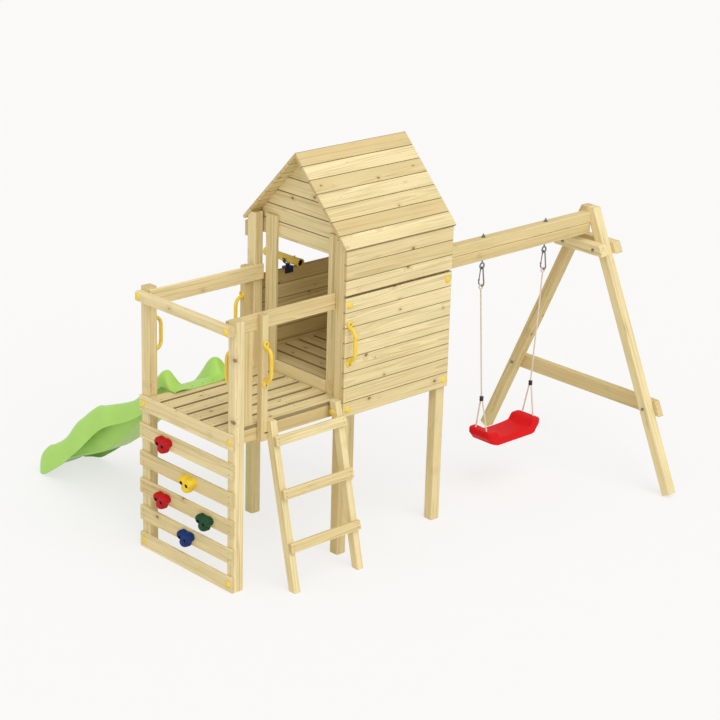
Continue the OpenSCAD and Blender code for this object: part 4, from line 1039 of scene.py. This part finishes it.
class CLIMB_OT_slide(bpy.types.Operator):
    """Moulded wavy slide with rolled rims"""

    bl_idname = "climb.slide"
    bl_label = "Slide"

    def execute(self, context):
        half = np.array(SLIDE_SECTION, float)
        across = between_rows(np.vstack([half, half[::-1] * (-1, 1, 1)]), SLIDE_COLUMNS)
        rows = [slide_row(station, across) for station in between_rows(SLIDE_STATIONS, SLIDE_ROWS)]
        rows += slide_nose(rows[-1])
        points = [site(SLIDE_X + x, y, max(z, GROUND_GAP)) for row in rows for x, y, z in row]
        faces = grid_faces(len(rows), len(across))
        piece = shell("slide_moulding", points, faces, SLIDE_WALL, "slide_green", SLIDE_EDGE)
        # The wall may not grow past the skin's front or into the ground
        front = max(q.y for q in points)
        for vert in piece.data.vertices:
            vert.co.y = min(vert.co.y, front)
            vert.co.z = max(vert.co.z, CORNER.z)
        fit(piece, "frame", "slide_green", "slide")
        spots = [(SLIDE_X + x, SLIDE_Y[0] + FLANGE_SCREWS_Y, DECK_Z + SLIDE_WALL) for x in FLANGE_SCREWS_X]
        scatter("slide_screws", [(site(*spot), (0, 0, 1)) for spot in spots], screw_head(1.5), "zinc", "steel")
        return {"FINISHED"}


# Swing seat: a dished middle between raised ends, over a skirt that leans in towards its foot

SEAT_CORNER = 0.03
SEAT_ROLL = 0.01
SEAT_EDGE = 0.0018
# The top's line: a dished middle that steps up to the ends between two places, with the steps blended
SEAT_STEP = (0.143, 0.171)
SEAT_DROP = 0.042
SEAT_DISH = 0.008
SEAT_BLEND = 0.0075
# The line is worked out at samples over a span that is longer than the seat
SEAT_SPAN = 0.3
SEAT_SAMPLE = 0.0005
BLEND_SAMPLES = 60
# Depth of the skirt at the ends, and how far they lean in, from a depth on
SEAT_SKIRT = 0.08
SEAT_LEAN = 0.036
SEAT_LEAN_FROM = 0.03
# Depth of the skirt's foot under the raised ends, at places along the seat
SEAT_FOOT = ((0.16, 0.207), (0.093, 0.08))
# Steps of the skirt, of the rolled edge, of a corner, and of the long and short sides
SKIRT_STEPS = 14
ROLL_STEPS = 7
CORNER_STEPS = 8
SIDE_STEPS = (90, 26)
# Rings on the top, by their distance from the edge
SEAT_INSETS = (0.014, 0.022, 0.034, 0.05, 0.075)
EYELET = [
    (0.0062, -0.006), (0.0062, 0.001), (0.0072, 0.0028), (0.0092, 0.003), (0.0115, 0.0015), (0.0125, -0.002),
    (0.0125, -0.006), (0.0062, -0.006),
]


def seat_line():
    """Places along the seat and the height of its top there, measured from the raised ends."""
    along = np.linspace(-SEAT_SPAN, SEAT_SPAN, round(2 * SEAT_SPAN / SEAT_SAMPLE) + 1)
    side = np.abs(along)
    line = np.interp(side, SEAT_STEP, (-SEAT_DROP, 0.0))
    line = line - SEAT_DISH * np.clip(1 - (side / SEAT_STEP[0]) ** 2, 0, 1)
    off = np.arange(-BLEND_SAMPLES, BLEND_SAMPLES + 1) * SEAT_SAMPLE
    spread = np.exp(-0.5 * (off / SEAT_BLEND) ** 2)
    return along, np.convolve(np.pad(line, BLEND_SAMPLES, "edge"), spread / spread.sum(), "valid")


def rounded_loop(half_x, half_y, corner):
    """A rounded rectangle with the same number of points at any size."""
    corner = max(corner, 1e-4)
    signs = ((1, 1), (-1, 1), (-1, -1), (1, -1))

    def spot(quarter, turn):
        x, y = signs[quarter % 4][0] * (half_x - corner), signs[quarter % 4][1] * (half_y - corner)
        return np.array((x + corner * math.cos(turn), y + corner * math.sin(turn)))

    loop = []
    for quarter in range(4):
        turns = [math.pi / 2 * (quarter + k / CORNER_STEPS) for k in range(CORNER_STEPS + 1)]
        loop += [spot(quarter, turn) for turn in turns]
        start, ahead = loop[-1], spot(quarter + 1, turns[-1]) - loop[-1]
        count = SIDE_STEPS[quarter % 2]
        loop += [start + ahead * k / count for k in range(1, count)]
    return loop


def seat_rings():
    """Rings of the seat's skin, from the foot of its skirt over the rolled edge to the middle of its top."""
    half_x, half_y = SEAT_HALF
    line = seat_line()
    rings = []
    for share in np.linspace(1.0, 0.0, SKIRT_STEPS + 1):
        below = share * SEAT_SKIRT - SEAT_LEAN_FROM
        lean = SEAT_LEAN * max(0.0, below / (SEAT_SKIRT - SEAT_LEAN_FROM))
        ring = []
        for x, y in rounded_loop(half_x - lean, half_y, SEAT_CORNER):
            top = np.interp(x, *line) - SEAT_ROLL
            ring.append((x, y, (1 - share) * top - share * np.interp(abs(x), *SEAT_FOOT)))
        rings.append(ring)
    for k in range(1, ROLL_STEPS + 1):
        turn = math.pi / 2 * k / ROLL_STEPS
        inset = SEAT_ROLL * (1 - math.cos(turn))
        ring = rounded_loop(half_x - inset, half_y - inset, SEAT_CORNER - inset)
        rings.append([(x, y, np.interp(x, *line) - SEAT_ROLL * (1 - math.sin(turn))) for x, y in ring])
    for inset in SEAT_INSETS:
        ring = rounded_loop(half_x - inset, half_y - inset, SEAT_CORNER - inset)
        rings.append([(x, y, np.interp(x, *line)) for x, y in ring])
    # The last ring closes on the middle line
    ring = rounded_loop(half_x - half_y, 1e-7, 0)
    rings.append([(x, 0.0, np.interp(x, *line)) for x, _ in ring])
    return rings


class CLIMB_OT_seat(bpy.types.Operator):
    """Moulded swing seat with raised ends and rope eyelets"""

    bl_idname = "climb.seat"
    bl_label = "Swing seat"

    def execute(self, context):
        rings = seat_rings()
        points = [site(SEAT_MID + x, SWING_Y + y, SEAT_TOP + z) for ring in rings for x, y, z in ring]
        mesh = raw_mesh("seat_skin", points, ring_faces(len(rings), len(rings[0])))
        bm = bmesh.new()
        bm.from_mesh(mesh)
        bmesh.ops.remove_doubles(bm, verts=bm.verts, dist=SKIN_MERGE)
        bmesh.ops.dissolve_degenerate(bm, dist=MERGE, edges=bm.edges)
        bmesh.ops.recalc_face_normals(bm, faces=bm.faces)
        skin = [v.co.copy() for v in bm.verts]
        up = sum(f.normal.z * f.calc_area() for f in bm.faces) > 0
        cells = [[v.index for v in (f.verts if up else reversed(f.verts))] for f in bm.faces]
        bm.free()
        bpy.data.meshes.remove(mesh)
        seat = shell("seat_moulding", skin, cells, SEAT_WALL, "seat_red", SEAT_EDGE)
        fit(seat, "swing", "seat_red", "swing_seat")
        for hole_x, word in zip(HOLES_X, SIDES):
            for way, name in WAYS:
                at = Matrix.Translation(site(hole_x, SWING_Y + way * HOLE_REACH, SEAT_TOP))
                eyelet = turned(f"seat_eyelet_{word}_{name}", EYELET, 28, at, "seat_red")
                fit(eyelet, "swing", "seat_red", "swing_seat")
        return {"FINISHED"}


# Grab handles: half of the bow's line (up, out), its thickness, finger ridges, pads and screws

BOW = [
    (-0.098, 0.004), (-0.0975, 0.018), (-0.091, 0.033), (-0.077, 0.0445), (-0.056, 0.051), (-0.028, 0.052),
    (0.0, 0.052),
]
BOW_R = 0.0113
FOOT_FLARE = 0.0045
FOOT_REACH = 0.016
RIDGE_H = 0.0017
RIDGE_PITCH = 0.0105
RIDGE_REACH = 0.062
RIDGE_FADE = 0.01
PAD_UP = 0.118
PAD_H = 0.0098
PAD = [
    (0.0, 0.0), (0.0205, 0.0), (0.021, 0.0015), (0.021, 0.0065), (0.0195, 0.0088), (0.0165, PAD_H),
    (0.0, PAD_H),
]
PAD_SCREW_UP = 0.1255
PAD_SCREW = [
    (0.0, 0.0), (0.0052, 0.0), (0.005, 0.0022), (0.0042, 0.003), (0.0026, 0.0031), (0.0024, 0.0018),
    (0.0, 0.0018),
]


def handle_piece(name, place, out):
    """A bow on two round pads, with finger ridges on its inner side."""
    out, up = Vector(out), Vector((0, 0, 1))
    line = between_rows(BOW + [(-u, o) for u, o in BOW[-2::-1]], 10)
    middle = site(*place, HANDLE_Z)
    path = [middle + up * u + out * o for u, o in line]

    def reach(i, turn):
        u, o = line[i]
        foot = FOOT_FLARE * max(0.0, 1 - o / FOOT_REACH) ** 2
        inner = max(0.0, -math.cos(turn)) ** 2
        fade = min(1.0, max(0.0, (RIDGE_REACH - abs(u)) / RIDGE_FADE))
        return BOW_R + foot + RIDGE_H * inner * math.sin(u * 2 * math.pi / RIDGE_PITCH) * fade

    points, faces = sweep(path, up.cross(out), reach, 20)
    parts = [build(name + "_bow", points, faces, "bright_yellow", 80.0)]
    for end in (-1, 1):
        pad_at = aim(middle + up * end * PAD_UP, out)
        screw_at = aim(middle + up * end * PAD_SCREW_UP + out * PAD_H, out)
        parts.append(turned(name + "_pad", PAD, 32, pad_at, "bright_yellow"))
        parts.append(turned(name + "_screw", PAD_SCREW, 16, screw_at, "zinc"))
    return joined(name, parts)


class CLIMB_OT_handles(bpy.types.Operator):
    """Yellow grab handles"""

    bl_idname = "climb.handles"
    bl_label = "Grab handles"

    def execute(self, context):
        for name, node, place, out in HANDLES:
            fit(handle_piece("handle_" + name, place, out), "frame", "yellow_plastic", node)
        return {"FINISHED"}


# Climbing holds: shares of the radius and height, then wells and bolts (radius, height over the wall)

HOLD_R = 0.056
HOLD_H = 0.05
HOLD_FLAT = 0.84
HOLD_SIDES = 120
# Shares: how far lobes stand out, creases draw in and sink, and where on the profile both reach their full size
LOBE_OUT = 0.2
CREASE_IN = 0.05
CREASE_SINK = 0.16
LOBE_FULL = 0.6
CREASE_FULL = 0.7
HOLD_PROFILE = [(1.0, 0.0), (1.0, 0.35), (0.96, 0.68), (0.86, 0.9), (0.7, 1.0), (0.35, 1.0), (0.0, 0.985)]
WELL_OUT = 0.42 * HOLD_R
WELL_TURNS = (8, 188)
WELL = [
    (0.0, 0.014), (0.0088, 0.014), (0.009, 0.034), (0.0112, 0.046), (0.0145, 0.0515), (0.0145, 0.06),
    (0.0, 0.06),
]
WELL_BOLT = [
    (0.0, 0.014), (0.0062, 0.014), (0.0062, 0.0205), (0.0056, 0.0215), (0.0034, 0.0216), (0.003, 0.017),
    (0.0, 0.017),
]


def hold_point(share, high, turn):
    """A point of a hold's skin: three lobes with creases between them."""
    crease = (1 - abs(math.cos(1.5 * (turn - math.pi / 6)))) ** 2
    outer = min(1.0, share / LOBE_FULL)
    lobes = 1 + (LOBE_OUT * math.sin(3 * turn) - CREASE_IN * crease) * outer
    reach = HOLD_R * min(max(share, 0.0), 1.0) * lobes
    swell = 1 - CREASE_SINK * crease * min(1.0, high / CREASE_FULL) * outer
    out = -HOLD_H * min(high, 1.0) * swell
    return Vector((out, reach * math.cos(turn), HOLD_FLAT * reach * math.sin(turn)))


def hold_piece(name, place, material):
    """A lobed hold with two bolt wells, whose walls are painted black as painted shade."""
    profile = between_rows(HOLD_PROFILE, 5)[:-1]
    middle = site(BOARDS_X, *place)
    points = [middle + hold_point(share, high, turn) for share, high in profile for turn in circle(HOLD_SIDES)]
    foot = tuple(range(HOLD_SIDES))
    top = tuple((len(profile) - 1) * HOLD_SIDES + k for k in foot)
    body = build(name, points, ring_faces(len(profile), HOLD_SIDES) + [foot, top], material, 60.0)
    bolts = []
    for turn in map(math.radians, WELL_TURNS):
        spot = Vector((0, WELL_OUT * math.cos(turn), WELL_OUT * math.sin(turn)))
        outwards = aim(middle + spot, (-1, 0, 0))
        # The cutter's black finish passes to the well's walls: painted shade in the recess
        cutter = turned(name + "_well", WELL, 28, outwards, "black")
        cut = body.modifiers.new("well", "BOOLEAN")
        cut.operation = "DIFFERENCE"
        cut.solver = "EXACT"
        cut.material_mode = "TRANSFER"
        cut.object = cutter
        settle(body)
        discard(cutter)
        bolts.append(turned(name + "_bolt", WELL_BOLT, 6, outwards, "zinc"))
    return joined(name, [body] + bolts)


class CLIMB_OT_holds(bpy.types.Operator):
    """Moulded climbing holds with bolt wells"""

    bl_idname = "climb.holds"
    bl_label = "Climbing holds"

    def execute(self, context):
        for name, node, place, material in HOLDS:
            fit(hold_piece("hold_piece_" + name, place, material), "frame", material, node)
        return {"FINISHED"}


# Hardware: the profile of a round bolt cap, then screws and what sets them in place

CAP_DOME = [
    (0.0, 0.0105), (0.004, 0.0104), (0.009, 0.0098), (0.0135, 0.0084), (0.0165, 0.0066), (0.0184, 0.0046),
    (0.0188, 0.0034), (0.0199, 0.0030), (0.0202, 0.0018), (0.02, 0.0), (0.0, 0.0),
]


def screw_head(size=1.0):
    """Profile of a countersunk screw head with a driver recess."""
    r = look("steel_look").screw / 2 * size
    return [
        (0.0, -0.0004), (r * 0.42, -0.0004), (r * 0.5, 0.0008), (r * 0.82, 0.0008), (r, 0.0003), (r, -0.001),
        (0.0, -0.001),
    ]


def scatter_tree():
    """Node tree that sets one part at every place of a mesh, turned to each place's aim."""
    tree = bpy.data.node_groups.new("fasteners", "GeometryNodeTree")
    for name, kind in (
        ("Places", "NodeSocketGeometry"), ("Part", "NodeSocketObject"), ("Spin", "NodeSocketFloat"),
        ("Seed", "NodeSocketInt"), ("Finish", "NodeSocketMaterial"),
    ):
        tree.interface.new_socket(name, in_out="INPUT", socket_type=kind)
    tree.interface.new_socket("Fasteners", in_out="OUTPUT", socket_type="NodeSocketGeometry")
    w = Wiring(tree)
    given = w.nodes.new("NodeGroupInput").outputs
    part = w.node("GeometryNodeObjectInfo", {"Object": given["Part"]}, "Geometry")
    aimed = w.node("GeometryNodeInputNamedAttribute", {"Name": "aim"}, "Attribute", data_type="FLOAT_VECTOR")
    turn = w.node("FunctionNodeAlignRotationToVector", {"Vector": aimed}, axis="Z")
    chance = w.node("FunctionNodeRandomValue", {3: given["Spin"], "Seed": given["Seed"]}, 1, data_type="FLOAT")
    spin = w.node("FunctionNodeAxisAngleToRotation", {"Angle": chance})
    both = w.node("FunctionNodeRotateRotation", {"Rotation": turn, "Rotate By": spin}, rotation_space="LOCAL")
    put = {"Points": given["Places"], "Instance": part, "Rotation": both}
    real = w.node("GeometryNodeRealizeInstances", {0: w.node("GeometryNodeInstanceOnPoints", put)})
    finish = w.node("GeometryNodeSetMaterial", {"Geometry": real, "Material": given["Finish"]})
    w.links.new(finish, w.nodes.new("NodeGroupOutput").inputs[0])
    return tree


def scatter(name, places, profile, material, slot, nodes=(), segments=20):
    """Sets a turned part at (place, aim) pairs on the frame."""
    part = turned(name + "_part", profile, segments, Matrix(), material, 50.0)
    mesh = raw_mesh(name, [at for at, _ in places])
    aims = mesh.attributes.new("aim", "FLOAT_VECTOR", "POINT")
    aims.data.foreach_set("vector", [c for _, way in places for c in way])
    piece = link(name, mesh)
    tree = bpy.data.node_groups.get("fasteners") or scatter_tree()
    setter = piece.modifiers.new("fasteners", "NODES")
    setter.node_group = tree
    values = {"Part": part, "Spin": 2 * math.pi, "Seed": 7, "Finish": paint(material)}
    for item in tree.interface.items_tree:
        if item.in_out == "INPUT" and item.name in values:
            setter[item.identifier] = values[item.name]
    settle(piece)
    discard(part)
    return fit(piece, "frame", slot, *nodes)


def caps():
    """Places and directions of the round bolt caps."""
    return [(site(x, y, z), way) for way, xs, ys, zs in CAPS for x in xs for y in ys for z in zs]


def screw_places():
    """Screws at the board ends, on the side that each board is fixed from."""
    capped = [at for at, _ in caps()]
    places = []
    for node, way, along, across in SCREWED:
        bm = softened(node, 0)
        boards = [board_frame(group) for group in islands(bm)]
        bm.free()
        for axes, middle, half in boards:
            if half[0] < SHORT_BOARD:
                continue
            faces = [(axes[k] * sign, half[k]) for k in (1, 2) for sign in (-1, 1)]
            normal, lift = max(faces, key=lambda face: face[0] @ np.array(way))
            side = 1 if abs(normal @ axes[2]) > 0.5 else 2
            heart = axes.T @ middle + normal * lift
            for a in along:
                for b in across:
                    at = heart + axes[0] * half[0] * a + axes[side] * half[side] * b
                    if all((Vector(at) - cap).length > CAP_CLEAR for cap in capped):
                        places.append((at, normal))
    return places


class CLIMB_OT_hardware(bpy.types.Operator):
    """Hooks, eye bolts, nuts, round bolt caps and screws"""

    bl_idname = "climb.hardware"
    bl_label = "Hardware"

    def execute(self, context):
        for node in ("eye_bolts", "eye_nuts", "swing_bolts"):
            dress_plain(node, "frame", "steel", "zinc")
        for word in SIDES:
            dress_plain("hook_" + word, "swing", "steel", "zinc", 0.0)
            dress_plain("gate_" + word, "gate_" + word, "steel", "zinc", 0.0)
        scatter("bolt_caps", caps(), CAP_DOME, "bright_yellow", "yellow_plastic", ("capped_bolts",), 36)
        scatter("board_screws", screw_places(), screw_head(), "screw_brass", "steel", (), 12)
        return {"FINISHED"}


# Telescope: its middle line, and the lenses with place along it, way they face and bulge

TELESCOPE_X = 1.15
TELESCOPE_Z = 1.605
LENSES = (("object", 1.067, 1, 0.004), ("eye", 0.777, -1, 0.002))
LENS_R = 0.0215
LENS_BACK = -0.003
LENS_RIM = [(0.0185, 0.001), (0.0185, 0.006), (0.0218, 0.007), (0.0218, 0.0), (0.0185, 0.001)]


class CLIMB_OT_telescope(bpy.types.Operator):
    """Telescope with its lens, eye cup, yoke and base"""

    bl_idname = "climb.telescope"
    bl_label = "Telescope"

    def execute(self, context):
        dress_plain("telescope_tube", "telescope_tube", "yellow_plastic", "bright_yellow")
        dress_plain("telescope_yoke", "telescope_yoke", "telescope_navy", "navy", 0.0008)
        dress_plain("telescope_base", "frame", "telescope_navy", "navy", 0.001)
        for name, y, way, bulge in LENSES:
            place = aim(site(TELESCOPE_X, y, TELESCOPE_Z), (0, way, 0))
            lens = [(LENS_R * k / 6, bulge * (1 - (k / 6) ** 2)) for k in range(7)]
            lens += [(LENS_R, LENS_BACK), (0.0, LENS_BACK)]
            parts = [turned(name, lens, 40, place, "lens"), turned(name + "_rim", LENS_RIM, 40, place, "black")]
            fit(joined("telescope_lens_" + name, parts), "telescope_tube", "telescope_navy")
        return {"FINISHED"}


# Studio

SENSOR = 36.0
FAR_CLIP = 1000.0
FLOOR_HALF = 300.0
SKY_TINT = (1.0, 0.99, 0.975)
# Lamps: name, width of the source in degrees and direction of the light
LAMPS = (("key", 50.0, (0.10, 0.62, -0.78)), ("fill", 90.0, (0.85, 0.25, -0.45)))


def place_camera(scene, studio):
    """The camera, from its turn, tilt, roll and distance round its target."""
    turn, tilt, roll = (math.radians(a) for a in (studio.azimuth, studio.elevation, studio.roll))
    back = Vector((math.sin(turn) * math.cos(tilt), -math.cos(turn) * math.cos(tilt), math.sin(tilt)))
    right = (-back).cross(Vector((0, 0, 1))).normalized()
    up = right.cross(-back)
    across = math.cos(roll) * right + math.sin(roll) * up
    upright = -math.sin(roll) * right + math.cos(roll) * up
    camera = bpy.data.objects.new("camera", bpy.data.cameras.new("camera"))
    scene.collection.objects.link(camera)
    camera.data.lens = studio.lens
    camera.data.sensor_width = SENSOR
    camera.data.clip_end = FAR_CLIP
    facing = Matrix((across, upright, back)).transposed().to_4x4()
    camera.matrix_world = Matrix.Translation(site(*studio.target) + back * studio.distance) @ facing
    scene.camera = camera


def lay_floor(studio):
    """A wide floor that takes on the backdrop's colour where it is seen."""
    corners = [(x * FLOOR_HALF, y * FLOOR_HALF, 0) for x, y in ((-1, -1), (1, -1), (1, 1), (-1, 1))]
    p = Paint("floor")
    speck = p.step(p.noise(p.place(), 3.0, 2.0), 0.3, 0.7)
    base = p.mix(speck, studio.floor, [c * 0.995 for c in studio.floor])
    plain = p.node("BsdfPrincipled", {"Base Color": base, "Roughness": 0.9, "Specular IOR Level": 0.1})
    glow = p.node("Emission", {"Color": studio.backdrop, "Strength": 1.0})
    shown = p.node("MixShader", {0: p.times(p.seen(), studio.lift), 1: plain, 2: glow})
    link("floor", raw_mesh("floor", corners, [(0, 1, 2, 3)]), p.finish(shown))


def hang_lamps(scene, studio):
    for name, angle, direction in LAMPS:
        lamp = bpy.data.lights.new(name, "SUN")
        lamp.energy = getattr(studio, name)
        lamp.angle = math.radians(angle)
        made = bpy.data.objects.new(name, lamp)
        made.rotation_euler = Vector(direction).to_track_quat("-Z", "Y").to_euler()
        scene.collection.objects.link(made)


def light_sky(scene, studio):
    """Soft light from all round, with the backdrop's colour where it is seen."""
    sky = Paint("studio", "worlds")
    lit = sky.node("Background", {"Color": SKY_TINT, "Strength": studio.sky})
    shown = sky.node("Background", {"Color": studio.backdrop})
    scene.world = sky.finish(sky.node("MixShader", {0: sky.seen(), 1: lit, 2: shown}), "World")


class CLIMB_OT_stage(bpy.types.Operator):
    """Camera, pale floor and soft studio light"""

    bl_idname = "climb.stage"
    bl_label = "Studio"

    def execute(self, context):
        studio = look("studio_look")
        place_camera(context.scene, studio)
        lay_floor(studio)
        hang_lamps(context.scene, studio)
        light_sky(context.scene, studio)
        context.scene.view_settings.view_transform = "Standard"
        return {"FINISHED"}


class CLIMB_PT_panel(bpy.types.Panel):
    """Lists the pieces of the climbing frame"""

    bl_idname = "CLIMB_PT_panel"
    bl_label = "Climbing frame"
    bl_space_type = "VIEW_3D"
    bl_region_type = "UI"
    bl_category = "Climbing frame"

    def draw(self, context):
        for operator in OPERATORS:
            self.layout.operator(operator.bl_idname)
        for name in LOOKS:
            box = self.layout.box()
            settings = getattr(context.scene, name)
            for key in settings.bl_rna.properties.keys():
                if key not in ("rna_type", "name"):
                    box.prop(settings, key)


OPERATORS = [
    CLIMB_OT_stage,
    CLIMB_OT_ropes,
    CLIMB_OT_timber,
    CLIMB_OT_slide,
    CLIMB_OT_seat,
    CLIMB_OT_handles,
    CLIMB_OT_holds,
    CLIMB_OT_hardware,
    CLIMB_OT_telescope,
]


def register():
    for group in LOOKS.values():
        bpy.utils.register_class(group)
    for name, group in LOOKS.items():
        setattr(bpy.types.Scene, name, PointerProperty(type=group))
    for operator in OPERATORS:
        bpy.utils.register_class(operator)
    bpy.utils.register_class(CLIMB_PT_panel)


def unregister():
    bpy.utils.unregister_class(CLIMB_PT_panel)
    for operator in reversed(OPERATORS):
        bpy.utils.unregister_class(operator)
    for name, group in LOOKS.items():
        delattr(bpy.types.Scene, name)
        bpy.utils.unregister_class(group)


def main():
    register()
    for operator in OPERATORS:
        group, name = operator.bl_idname.split(".")
        getattr(getattr(bpy.ops, group), name)()


if __name__ == "__main__":
    main()
